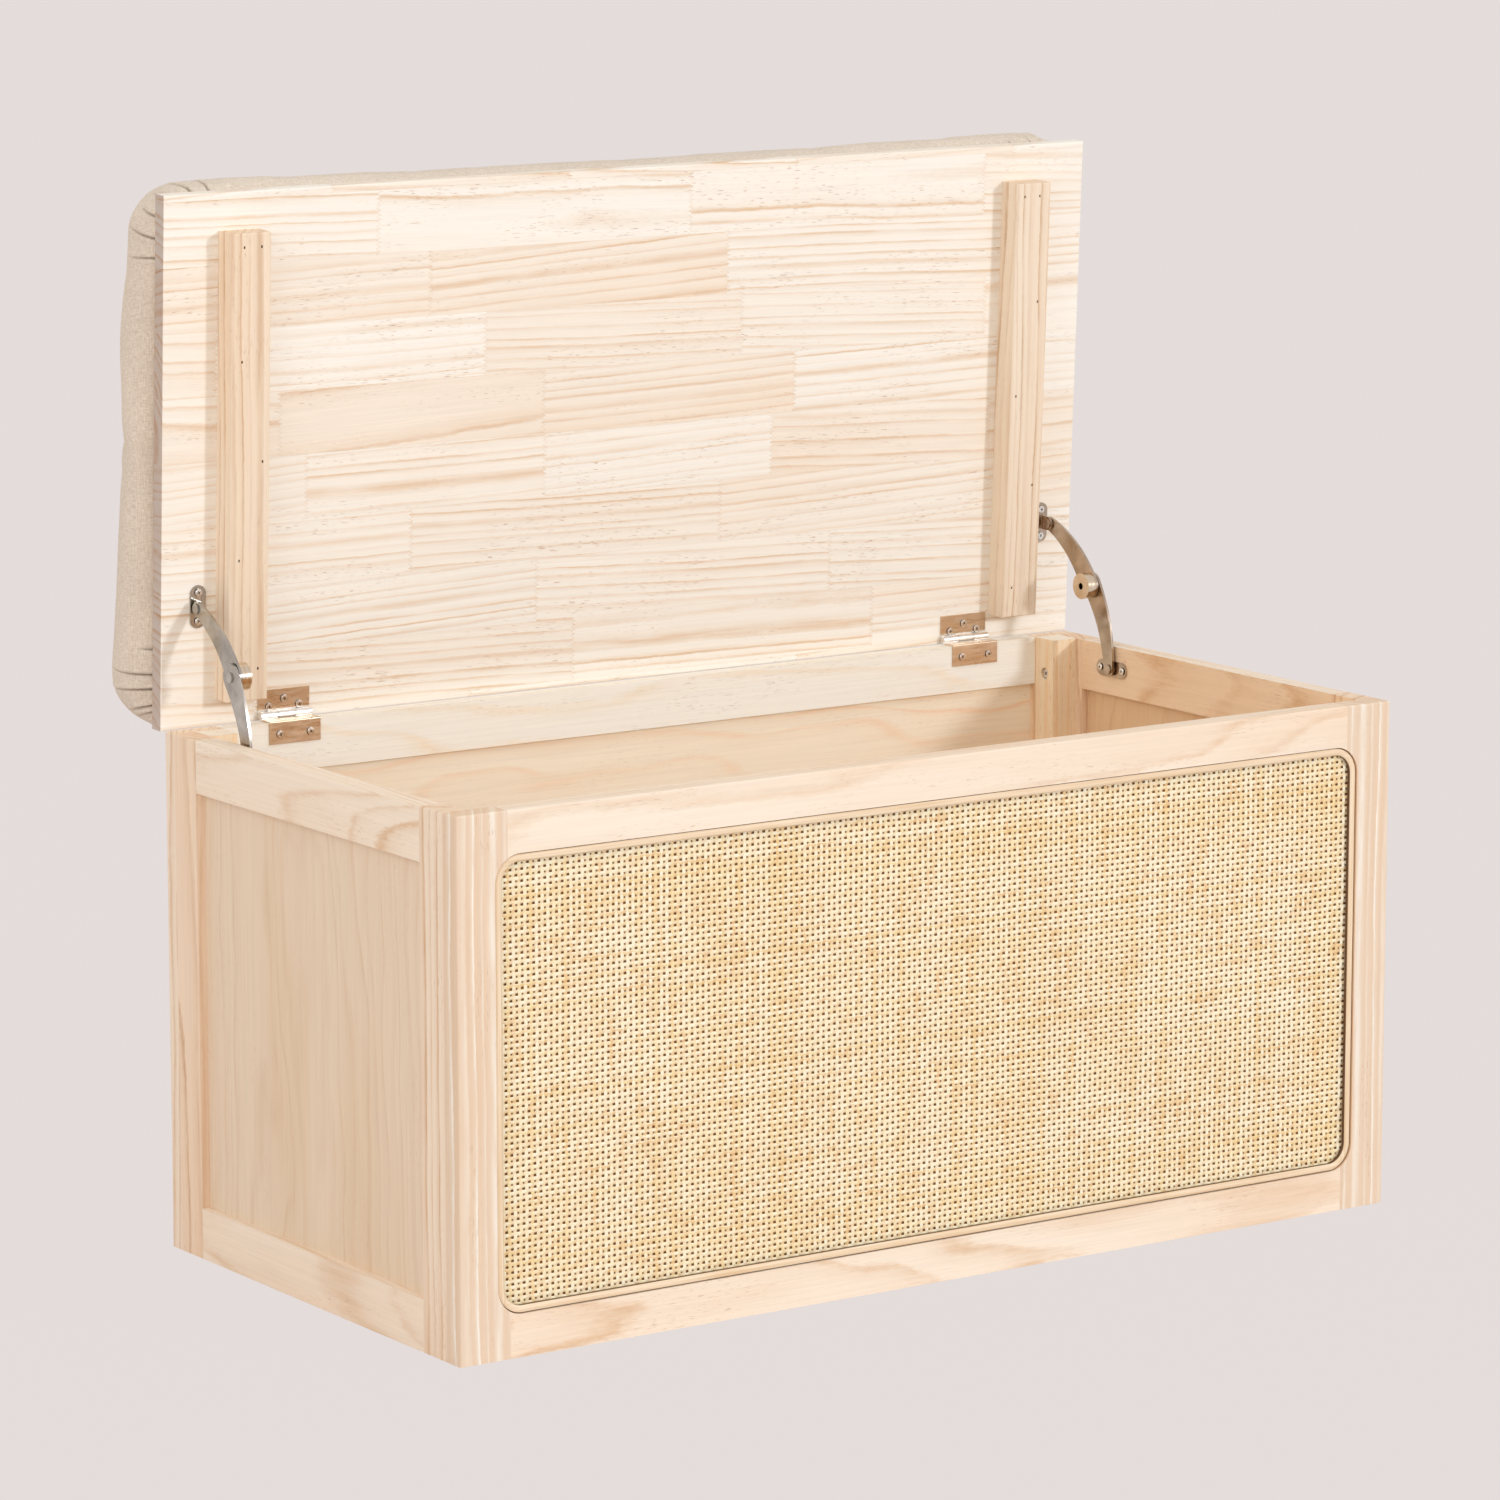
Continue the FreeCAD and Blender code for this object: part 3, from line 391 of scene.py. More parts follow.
class Groups:
    """The shader groups that several finishes share, each built once."""

    @staticmethod
    @cache
    def rings() -> bpy.types.NodeTree:
        """Gives the group that draws a tree's rings through a solid board.

        Its Vector runs along the pith in X. It puts out a mask of late wood, a slow tone,
        fine fibres and flecks.

        Returns:
            The group.
        """
        group = Group("rings", ("Vector", "Pitch", "Wander", "Slope"),
                      ("Late", "Tone", "Fibre", "Fleck"))
        place, pitch, wander, slope = group.given
        drift = place.stray((3.4, 12.0, 12.0), 0.5, group.join(0.0, wander, wander))
        ripple = place.stray((26.0, 40.0, 40.0), 0.5, (0.0, 0.0014, 0.0014))
        feather = place.stray((120.0, 420.0, 420.0), 0.6, (0.0, 0.0011, 0.0011))
        along, deep, aside = (place + drift + (ripple + feather)).split()
        age = group.join(0.0, deep + along * slope, aside).reckon("LENGTH") / pitch
        age += group.join(age).noise((0.43, 1.0, 1.0), 1.0) * 2.6
        late = age.reckon("FRACT").ramp(
            (0.0, 0.4), (0.06, 0.0), (0.42, 0.05), (0.72, 0.3), (0.9, 1.0), (1.0, 0.4))
        late *= age.reckon("FLOOR").chance()[0].span(0.0, 1.0, 0.4, 1.0)
        late *= place.noise((14.0, 160.0, 160.0), 2.0, 0.6).span(0.34, 0.6, 0.45, 1.15)
        tone = place.noise((2.2, 17.0, 17.0), 3.0, 0.55).span(0.32, 0.68)
        fibre = place.noise((11.0, 520.0, 520.0), 3.0, 0.6).span(0.3, 0.7)
        fleck = place.noise((130.0, 1500.0, 1500.0), 1.0).span(0.64, 0.74)
        patch = place.noise((9.0, 45.0, 45.0), 1.0).span(0.46, 0.6)
        return group.close(late, tone, fibre, fleck * patch)

    @staticmethod
    @cache
    def staves() -> bpy.types.NodeTree:
        """Gives the group that divides a glued board into staves, finger-jointed at their ends.

        Its Vector has X along the staves, Y across them and Z through the board. It puts out
        each stave's own grain coordinates, a tone from 0 to 1, how strong its rings are and a
        mask of the glued joints.

        Returns:
            The group.
        """
        group = Group("staves", ("Vector", "Width", "Length"),
                      ("Vector", "Tone", "Strength", "Joint"))
        place, width, length = group.given
        along, aside, deep = place.split()
        across = aside / width
        row = across.reckon("FLOOR")
        pull, stretch, _ = row.chance()[1].split()
        finger = (aside / 0.0033).reckon("PINGPONG", 0.5)
        length *= stretch.span(0.0, 1.0, 0.75, 1.35)
        lengthwise = (along + finger * 0.007) / length + pull * 7.0
        tone, colour = group.join(row, lengthwise.reckon("FLOOR")).chance()
        first, second, third = colour.split()
        middle = across.reckon("FRACT") - 0.5
        tilt = (third * 7.0).reckon("FRACT").span(0.0, 1.0, -0.05, 0.05)
        shift = second - 0.5
        shift = shift.reckon("SIGN") * abs(shift).span(0.0, 0.5, 0.035, 0.17)
        own = group.join(along + third * 9.0, deep + first.span(0.0, 1.0, 0.01, 0.05),
                         middle * width + shift + along * tilt)
        strength = (first * 5.0).reckon("FRACT").span(0.0, 1.0, 0.7, 1.2)
        glue = abs(middle).span(0.492, 0.5) * 0.3
        butt = abs(lengthwise.reckon("FRACT") - 0.5).span(0.498, 0.5)
        return group.close(own, tone, strength, glue.reckon("MAXIMUM", butt))

    @staticmethod
    @cache
    def weave() -> bpy.types.NodeTree:
        """Gives the group that weaves plain cloth on a flat pair of coordinates.

        Its Vector is in metres. It puts out the height of the threads and an uneven shade.

        Returns:
            The group.
        """
        group = Group("weave", ("Vector", "Thread"), ("Height", "Shade"))
        place, thread = group.given
        bent = place + place.stray((60.0, 60.0, 60.0), 0.5, (0.0012, 0.0012, 0.0))
        warp, weft = ((part / thread * math.pi).reckon("SINE") for part in bent.split()[:2])
        over = warp * weft
        upper = abs(warp) * over.span(-0.35, 0.35)
        height = upper.reckon("MAXIMUM", abs(weft) * over.span(0.35, -0.35))
        slubs = place.noise((220.0, 1100.0, 1.0)) + place.noise((1100.0, 220.0, 1.0))
        return group.close(height, (slubs * 0.5).span(0.36, 0.64))


class Coat(Graph):
    """A new material: its tree, its shader and the coordinates that finishes read."""

    def __init__(self, name: str) -> None:
        """Makes the material with only a Principled shader in it.

        Args:
            name: The material's name.
        """
        self.material = bpy.data.materials.new(name)
        super().__init__(cleared(self.material))
        self.shader = self.node("BsdfPrincipled")
        self.feed(self.node("OutputMaterial").inputs[0], Wire(self, self.shader.outputs[0]))
        places = self.node("TexCoord").outputs
        self.place, self.normal, self.cloth = (
            Wire(self, places[kind]) for kind in ("Object", "Normal", "UV"))

    def paint(self, **values: object) -> None:
        """Feeds the shader's inputs by their names, with underscores for spaces."""
        self.feed_named(self.shader, **values)

    def attribute(self, name: str) -> Wire:
        """Reads one of the mesh's attributes."""
        return self.add("Attribute", output="Fac", attribute_name=name)

    def bump(self, height: Wire, depth: float, strength: float) -> None:
        """Gives the surface bumps.

        Args:
            height: The height, from 0 to 1.
            depth: What a height of 1 is, in metres.
            strength: How much of the bumps shows.
        """
        bump = self.node("Bump")
        self.feed_named(bump, Strength=strength, Distance=depth, Height=height)
        self.paint(Normal=Wire(self, bump.outputs[0]))


@dataclass(frozen=True)
class PineFinish:
    """Planed pine with a dry, clear finish."""

    early: Colour = (252, 237, 220)
    late: Colour = (228, 194, 156)
    warm: Colour = (246, 222, 196)
    fleck: Colour = (186, 138, 96)
    end: Colour = (255, 250, 244)
    # glow is the warm tint of the painted bounce light and shade on faces inside the case.
    glow: Colour = (254, 234, 208)
    contrast: float = 0.8
    end_rings: float = 0.12
    fleck_share: float = 0.4
    painted_well_bounce: float = 0.0
    roughness: float = 0.55

    def grain(self, coat: Coat, board: "Board", vector: Wire, tone: Wire,
              strength: object = 1.0) -> Wire:
        """Paints a material with this wood.

        Args:
            coat: The material.
            board: The board, which gives the rings' pitch, wander and slope.
            vector: Coordinates with X along the grain and the pith on that axis.
            tone: The wood's own tone, from 0 to 1.
            strength: How strongly its rings show.

        Returns:
            The wood's colour.
        """
        late, slow, fibre, fleck = coat.group(
            Groups.rings(), Vector=vector, Pitch=board.pitch, Wander=board.wander,
            Slope=board.slope)
        colour = coat.mix(late * self.contrast * strength, self.early, self.late)
        patch = slow * slow * 0.35 + tone.span(0.4, 1.0, 0.0, 0.45)
        colour = coat.mix(patch, colour, self.warm, "MULTIPLY")
        colour = colour.dim(fibre.span(0.0, 1.0, 0.96, 1.025) + tone.span(0.0, 1.0, 0.01, -0.02))
        colour = coat.mix(fleck * self.fleck_share, colour, self.fleck)
        # Painted bounce light and shade: faces that look into the case's well are multiplied by the
        # warm glow colour.
        if self.painted_well_bounce:
            middle = coat.place + (0.0, CASE_MIDDLE, 0.0)
            inward = middle.reckon("DOT_PRODUCT", coat.normal * (1.0, 1.0, 0.0))
            inside = inward.span(-0.06, -0.12, 0.0, self.painted_well_bounce)
            colour = coat.mix(inside, colour, self.glow, "MULTIPLY")
        cut = abs(coat.normal.reckon("DOT_PRODUCT", board.grain.value)).span(0.8, 0.95)
        colour = coat.mix(cut * 0.9, colour, self.end, "MULTIPLY")
        colour = coat.mix(cut * late * self.end_rings, colour, self.fleck)
        coat.paint(Base_Color=colour, Roughness=self.roughness + 0.06 - late * 0.12,
                   Specular_IOR_Level=0.35)
        coat.bump(fibre * 0.6 + late * 0.4 - fleck * 0.5, 0.00018, 0.6)
        return colour

    def apply(self, coat: Coat, board: "Board") -> None:
        """Paints the material of one board.

        Args:
            coat: The material.
            board: The board, which gives the grain's place.
        """
        tone = coat.add("Value")
        tone.socket.default_value = 0.5
        self.grain(coat, board, board.lay(coat), tone)


@dataclass(frozen=True)
class StaveFinish:
    """A board glued up of short staves of the same pine."""

    pine: PineFinish = PineFinish(
        early=(255, 252, 245), late=(232, 203, 170), warm=(252, 238, 224), end=(195, 185, 183),
        contrast=0.95, fleck_share=0.6, end_rings=0.5)
    width: float = 0.0465
    length: float = 0.24
    glue: Colour = (206, 166, 122)
    glue_share: float = 0.45

    def apply(self, coat: Coat, board: "Board") -> None:
        """Paints the material of the board.

        Args:
            coat: The material.
            board: The board, which gives the staves' line.
        """
        along, deep, aside = board.lay(coat).split()
        own, tone, strength, joint = coat.group(
            Groups.staves(), Vector=coat.join(along, aside, deep), Width=self.width,
            Length=self.length)
        wood = self.pine.grain(coat, board, own, tone, strength)
        coat.paint(Base_Color=coat.mix(joint * self.glue_share, wood, self.glue))


@dataclass(frozen=True)
class Board:
    """A wooden node, the way its grain runs and where its pith lies, in metres."""

    node: str
    grain: Grain
    face: Face
    depth: float
    aside: float
    pitch: float
    wander: float
    slope: float
    finish: PineFinish | StaveFinish

    def lay(self, coat: Coat) -> Wire:
        """Turns object coordinates so that X runs along the grain, with the pith on it.

        Args:
            coat: The board's material.

        Returns:
            The turned coordinates.
        """
        along, out = Vector(self.grain.value), Vector(self.face.value)
        turn = Matrix((along, out, along.cross(out)))
        low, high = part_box(self.node)
        middle = turn @ ((low + high) / 2)
        mapping = coat.node("Mapping", vector_type="POINT")
        coat.feed_named(mapping, Vector=coat.place, Rotation=turn.to_euler())
        shift = random.Random(self.node).uniform(1.0, 9.0)
        return Wire(coat, mapping.outputs[0]) + (
            shift - middle.x, self.depth - middle.y, self.aside - middle.z)

    def dress(self) -> None:
        """Gives the node its finish."""
        coat = Coat(self.node + "_wood")
        self.finish.apply(coat, self)
        paint_node(self.node, coat.material)


def paint_node(name: str, material: bpy.types.Material) -> None:
    """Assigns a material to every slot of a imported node.

    Args:
        name: The node.
        material: The material.
    """
    piece = frame["nodes"][name]
    if not piece.material_slots:
        piece.data.materials.append(material)
    for place in piece.material_slots:
        place.material = material


class Finish:
    """A look that makes its own material."""

    def apply(self, coat: Coat) -> None:
        """Paints a new material, in each finish's own way."""

    def material(self, name: str) -> bpy.types.Material:
        """Makes a material.

        Args:
            name: The material's name.

        Returns:
            The material.
        """
        coat = Coat(name)
        self.apply(coat)
        return coat.material


@dataclass(frozen=True)
class CaneFinish(Finish):
    """Peeled cane, each strand with its own straw tone, for the strands that run one way.

    Over and under strands cross at the depth middle_y.
    """

    across: Grain
    along: Grain
    pitch: float
    middle_y: float
    pale: Colour = (255, 248, 222)
    straw: Colour = (253, 236, 190)
    tan: Colour = (238, 194, 130)
    honey: Colour = (242, 210, 148)
    shadow: Colour = (228, 184, 120)
    crest: float = 0.0005

    def apply(self, coat: Coat) -> None:
        """Paints the strands.

        Args:
            coat: The material.
        """
        place, across, along = coat.place, self.across.value, self.along.value
        count = (place.reckon("DOT_PRODUCT", across) / self.pitch).reckon("FLOOR")
        own = count.chance()[0]
        run = coat.join(place.reckon("DOT_PRODUCT", along), count * 3.7)
        # The cane's own tan streaks along each strand.
        stain_and_shade = run.noise((26.0, 1.0, 1.0), 3.0, 0.6)
        wide = place.noise(tuple(20.0 * side + 2.5 * length for side, length in zip(across, along)),
                           3.0, 0.65)
        colour = coat.mix(own.span(0.3, 1.0), self.pale, self.straw)
        colour = coat.mix(stain_and_shade.span(0.52, 0.68, 0.0, 0.75), colour, self.tan)
        for share in (wide.span(0.46, 0.7, 0.0, 0.36), own.span(0.7, 1.0, 0.0, 0.45)):
            colour = coat.mix(share, colour, self.honey)
        # Painted shade: the strands darken towards the shadow colour where they dip behind middle_y
        # under the crossing strands, and towards their sides as their normals turn from the front.
        low, high = self.middle_y - self.crest, self.middle_y + self.crest
        sunk = place.split()[1].span(low, high, 0.0, 0.42)
        edge = abs(coat.normal.split()[1]).span(0.97, 0.78, 0.0, 0.6)
        colour = coat.mix(sunk.reckon("MAXIMUM", edge), colour, self.shadow, "MULTIPLY")
        fibre = place.noise((1400.0 - 1360.0 * along[0], 1.0, 1400.0 - 1360.0 * along[2]))
        coat.paint(Base_Color=colour, Roughness=fibre.span(0.3, 0.7, 0.36, 0.52))
        coat.bump(fibre, 0.0001, 0.5)


@dataclass(frozen=True)
class ReedFinish(Finish):
    """The split reed that frames the cane.

    Its upright runs start at corner_x, and behind groove_y its sides get painted shade, for the
    shaded gaps beside the reed.
    """

    corner_x: float
    groove_y: float
    pale: Colour = (250, 232, 206)
    tan: Colour = (226, 192, 148)
    painted_groove_shade: Colour = (104, 70, 44)
    turn: float = 0.004
    fade: float = 0.0003

    def apply(self, coat: Coat) -> None:
        """Paints the reed.

        Args:
            coat: The material.
        """
        x, y, _ = coat.place.split()
        upright = abs(x).span(self.corner_x - self.turn, self.corner_x)
        level, upward = (coat.place.noise(scale, 3.0, 0.6)
                         for scale in ((9.0, 700.0, 700.0), (700.0, 700.0, 9.0)))
        fibre = coat.mix(upright, level, upward)
        patch = coat.place.noise((13.0, 13.0, 13.0))
        colour = coat.mix(fibre.span(0.35, 0.72, 0.0, 0.8), self.pale, self.tan)
        colour = coat.mix(patch.span(0.5, 0.75, 0.0, 0.5), colour, self.tan)
        # Painted shade: behind groove_y the reed's sides turn dark brown, for the shade in the gaps
        # beside the reed.
        sides = y.span(self.groove_y, self.groove_y + self.fade)
        coat.paint(Base_Color=coat.mix(sides, colour, self.painted_groove_shade),
                   Roughness=fibre.span(0.3, 0.7, 0.42, 0.55))
        coat.bump(fibre, 0.00015, 0.6)


@dataclass(frozen=True)
class BackingFinish(Finish):
    """The board behind the cane: dark brown on its face at front_y as painted shade behind the
    cane's holes, bare ply on the others.
    """

    front_y: float
    stain_and_shade: Colour = (146, 100, 52)
    ply: Colour = (232, 200, 164)
    skin: float = 0.0002

    def apply(self, coat: Coat) -> None:
        """Paints the board.

        Args:
            coat: The material.
        """
        y = coat.place.split()[1]
        # Painted shade: the face behind the cane takes the dark brown colour instead of the ply.
        back = y.span(self.front_y + self.skin, self.front_y + 2 * self.skin)
        fibre = coat.place.noise((8.0, 300.0, 300.0), 3.0)
        colour = coat.mix(back, self.stain_and_shade, self.ply).dim(fibre.span(0.3, 0.7, 0.9, 1.08))
        coat.paint(Base_Color=colour, Roughness=fibre.span(0.3, 0.7, 0.6, 0.75))
        coat.bump(fibre, 0.0001, 0.5)


@dataclass(frozen=True)
class LinenFinish(Finish):
    """Plain-woven linen, oatmeal, with painted shade in its folds. It reads the piece's own UV map
    in metres.
    """

    light: Colour = (252, 240, 226)
    dark: Colour = (226, 210, 193)
    # crease is the colour of the painted shade in the folds' valleys.
    crease: Colour = (112, 90, 72)
    thread: float = 0.0009

    def apply(self, coat: Coat) -> None:
        """Paints the cloth.

        Args:
            coat: The material.
        """
        height, shade = coat.group(Groups.weave(), Vector=coat.cloth, Thread=self.thread)
        patch = coat.place.noise((18.0, 18.0, 18.0), 3.0)
        # The low points between the threads are darkened: painted shade in the weave.
        colour = coat.mix(shade, self.dark, self.light).dim(height.span(0.1, 0.7, 0.78, 1.02))
        colour = colour.dim(patch.span(0.35, 0.65, 0.97, 1.03))
        # Painted shade: the fold attribute darkens the cloth towards the crease colour in the
        # valleys of the corner folds.
        fold = coat.attribute("fold").span(0.15, 0.9, 0.0, 0.75)
        coat.paint(Base_Color=coat.mix(fold, colour, self.crease),
                   Roughness=shade.span(0.0, 1.0, 0.85, 0.95), Sheen_Weight=0.15,
                   Sheen_Roughness=0.5, Specular_IOR_Level=0.2)
        coat.bump(height, 0.0003, 0.7)


@dataclass(frozen=True)
class MetalFinish(Finish):
    """Plated, brushed steel."""

    tint: Colour
    shade: Colour
    roughness: float
    brush: Triple

    def apply(self, coat: Coat) -> None:
        """Paints the metal.

        Args:
            coat: The material.
        """
        strokes = coat.place.noise(self.brush, 2.0, 0.6)
        cloud = coat.place.noise((70.0, 70.0, 70.0), 3.0)
        mask = (strokes * 0.5 + cloud * 0.5).span(0.38, 0.62)
        rough = strokes.span(0.3, 0.7, self.roughness - 0.06, self.roughness + 0.08)
        coat.paint(Base_Color=self.touch(coat, coat.mix(mask, self.shade, self.tint)),
                   Metallic=1.0, Roughness=rough)
        coat.bump(strokes, 0.00004, 0.4)

    def touch(self, coat: Coat, plain: Wire) -> Wire:
        """Gives the plain colour, which other metals change where a part looks different."""
        return plain


@dataclass(frozen=True)
class RoundFinish(MetalFinish):
    """Plated steel in another colour near an axis across the trunk."""

    # The default core is the painted shade of a drum's centre hole.
    core: Colour = (58, 44, 34)
    axis: Pair = (0.0, 0.0)
    reach: float = 0.0025
    fade: float = 0.0002

    def touch(self, coat: Coat, plain: Wire) -> Wire:
        """Changes the colour near the axis: pale rolled knuckles on a hinge beside the leaves'
        painted reflection, and painted shade in a drum's centre hole.
        """
        away = ((coat.place - (0.0, *self.axis)) * (0.0, 1.0, 1.0)).reckon("LENGTH")
        return coat.mix(away.span(self.reach + self.fade, self.reach), plain, self.core)


@dataclass(frozen=True)
class ScrewFinish(MetalFinish):
    """Plated steel with painted shade in its recess and round the foot of its head."""

    dark: Colour = (70, 62, 56)

    def touch(self, coat: Coat, plain: Wire) -> Wire:
        """Paints shade into the recess and round the foot of the head."""
        return coat.mix(coat.attribute("recess"), plain, self.dark)


def ease(distance: float, reach: float) -> float:
    """Gives a smooth step from 0 to 1 over a distance as long as the reach."""
    share = min(1.0, max(0.0, distance / reach))
    return share * share * (3.0 - 2.0 * share)


def clear_choice() -> None:
    """Deselects every object and leaves none active."""
    if bpy.context.object and bpy.context.object.mode != "OBJECT":
        bpy.ops.object.mode_set(mode="OBJECT")
    for piece in bpy.data.objects:
        piece.select_set(False)
    bpy.context.view_layer.objects.active = None


def choose(*pieces: Piece) -> None:
    """Selects only these objects and makes the first one active.

    Args:
        pieces: The objects.
    """
    clear_choice()
    for piece in pieces:
        piece.select_set(True)
    bpy.context.view_layer.objects.active = pieces[0]


@contextmanager
def editing(piece: Piece, everything: bool = True) -> Iterator[None]:
    """Opens a piece's mesh for editing and closes it afterwards.

    Args:
        piece: The piece.
        everything: Whether all of the mesh is selected first.

    Yields:
        Nothing.
    """
    choose(piece)
    bpy.ops.object.mode_set(mode="EDIT")
    if everything:
        bpy.ops.mesh.select_all(action="SELECT")
    yield
    bpy.ops.object.mode_set(mode="OBJECT")


def pick_faces(piece: Piece, rule: Callable[[bpy.types.MeshPolygon], bool]) -> None:
    """Selects only the faces that a rule picks.

    Args:
        piece: The piece.
        rule: Says of a face whether it is picked.
    """
    with editing(piece):
        bpy.ops.mesh.select_mode(type="FACE")
        bpy.ops.mesh.select_all(action="DESELECT")
    for face in piece.data.polygons:
        face.select = rule(face)


def apply_modifier(piece: Piece, kind: str, **settings: object) -> None:
    """Adds a modifier, sets it and applies it.

    Args:
        piece: The object.
        kind: The modifier's type.
        settings: The modifier's properties.
    """
    choose(piece)
    made = piece.modifiers.new(kind.lower(), kind)
    for name, value in settings.items():
        setattr(made, name, value)
    bpy.ops.object.modifier_apply(modifier=made.name)


def settle(piece: Piece) -> None:
    """Moves an object's place, turn and scale into its mesh."""
    choose(piece)
    bpy.ops.object.transform_apply(location=True, rotation=True, scale=True)


def merge(name: str, pieces: list[Piece]) -> Piece:
    """Joins pieces into one.

    Args:
        name: Its name.
        pieces: The pieces.

    Returns:
        The joined piece.
    """
    choose(*pieces)
    bpy.ops.object.join()
    joined = bpy.context.object
    joined.name = joined.data.name = name
    return joined


def hand_over(piece: Piece, body: Body, slot: str, material: bpy.types.Material,
              *replaced: str) -> None:
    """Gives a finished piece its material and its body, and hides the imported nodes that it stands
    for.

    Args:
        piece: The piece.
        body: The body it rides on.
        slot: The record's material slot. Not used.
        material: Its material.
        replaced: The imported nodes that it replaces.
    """
    settle(piece)
    piece.data.materials.clear()
    piece.data.materials.append(material)
    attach(piece, body.value)
    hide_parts(*replaced)
    log.info("%s: %d faces on %s", piece.name, len(piece.data.polygons), body.value)


@dataclass
class CaneFront:
    """The woven cane in the front opening, and what holds it. Sizes are in metres.

    Of each pair of sizes the first is the uprights' and the second the level strands'.
    """

    pitch: Pair = (0.00455, 0.00406)
    strand: Pair = (0.0028, 0.0026)
    rise: float = 0.00042
    crown: float = 0.0006
    corner: float = 0.0175
    margin: float = 0.0012
    stray: float = 0.0011
    stray_size: float = 0.045
    smooth_angle: float = math.radians(60)
    reed_corner: float = 0.005
    reed_groove: float = 0.0006

    def __post_init__(self) -> None:
        """Finds the middle of the opening and how far it reaches."""
        low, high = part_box("cane_webbing")
        self.middle, self.half = (low + high) / 2, (high - low) / 2

    def crossing(self, phase: int, number: int) -> Piece:
        """Models the part of a strand that goes over one crossing and under the next.

        Args:
            phase: 0 for an upright, 1 for a level strand, which passes under the first one.
            number: 0 or 1, the strand's place in its pair.

        Returns:
            The strand, along Z.
        """
        step = self.pitch[1 - phase]
        clear_choice()
        bpy.ops.mesh.primitive_cylinder_add(vertices=3, radius=1.0, depth=2.0,
                                            end_fill_type="NOTHING")
        piece = bpy.context.object
        piece.scale = (self.strand[phase] / math.sqrt(3.0), self.crown / 1.5, step)
        settle(piece)
        with editing(piece):
            for share in (-0.5, 0.0, 0.5):
                bpy.ops.mesh.select_all(action="SELECT")
                bpy.ops.mesh.bisect(plane_co=UPWARD * share * step, plane_no=UPWARD)
        rise = self.rise if (number + phase) % 2 else -self.rise
        for vertex in piece.data.vertices:
            vertex.co.y += rise * math.cos(math.pi * (vertex.co.z / step + 1.0))
        return piece

    def weave(self, name: str, phase: int, across: Vector, along: Vector) -> Piece:
        """Weaves the strands that run one way.

        Args:
            name: The piece's name.
            phase: 0 for the uprights, 1 for the level strands.
            across: The way from strand to strand.
            along: The way that the strands run.

        Returns:
            The strands, as one object.
        """
        apart, step = self.pitch[phase], self.pitch[1 - phase]
        strands = int(self.half.dot(across) / apart) * 2 + 2
        crossings = int(self.half.dot(along) / step) * 2 + 2
        start = self.middle - across * (strands - 1) * apart / 2 - along * crossings * step / 2
        turn = Matrix((across, Vector(Face.FRONT.value), along)).transposed().to_4x4()
        pair = [self.crossing(phase, number) for number in range(2)]
        for number, piece in enumerate(pair):
            place = start + across * number * apart + along * step
            piece.data.transform(Matrix.Translation(place) @ turn)
        web = merge(name, pair)
        for count, offset, weld in (
            (crossings, along * step, True), (strands, across * apart, False)
        ):
            apply_modifier(web, "ARRAY", count=count // 2, use_relative_offset=False,
                           use_constant_offset=True, constant_offset_displace=offset * 2,
                           use_merge_vertices=weld, merge_threshold=MERGE)
        cloud = bpy.data.textures.new(name + "_stray", "CLOUDS")
        cloud.noise_scale = self.stray_size
        apply_modifier(web, "DISPLACE", texture=cloud, texture_coords="LOCAL",
                       direction="XZ"[phase], strength=self.stray, mid_level=0.5)
        pick_faces(web, self.outside)
        with editing(web, False):
            bpy.ops.mesh.delete(type="FACE")
        with editing(web):
            bpy.ops.mesh.fill_holes(sides=4)
            bpy.ops.mesh.select_all(action="SELECT")
            bpy.ops.mesh.normals_make_consistent(inside=False)
        bpy.ops.object.shade_smooth_by_angle(angle=self.smooth_angle)
        return web

    def outside(self, face: bpy.types.MeshPolygon) -> bool:
        """Tells whether a face is outside the rounded opening, under the reed.

        Args:
            face: The face.

        Returns:
            Whether it goes.
        """
        inset, place = self.margin + self.corner, face.center - self.middle
        x, z = abs(place.x) - self.half.x + inset, abs(place.z) - self.half.z + inset
        return max(x, z) > self.corner or (min(x, z) > 0 and math.hypot(x, z) > self.corner)

    def build(self) -> None:
        """Builds the web and dresses the reed and the backing board."""
        for phase, (name, coat, across, along) in enumerate((
            ("cane_uprights", "cane_upright", Grain.ACROSS, Grain.UP),
            ("cane_crosswise", "cane_level", Grain.UP, Grain.ACROSS),
        )):
            web = self.weave(name, phase, Vector(across.value), Vector(along.value))
            finish = CaneFinish(across, along, self.pitch[phase], self.middle.y)
            hand_over(web, Body.CASE, "cane", finish.material(coat), "cane_webbing")
        low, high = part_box("cane_reed")
        reed = ReedFinish(high.x - self.reed_corner, low.y + self.reed_groove)
        paint_node("cane_reed", reed.material("reed"))
        backing = BackingFinish(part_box("cane_back_board")[0].y)
        paint_node("cane_back_board", backing.material("cane_backing"))


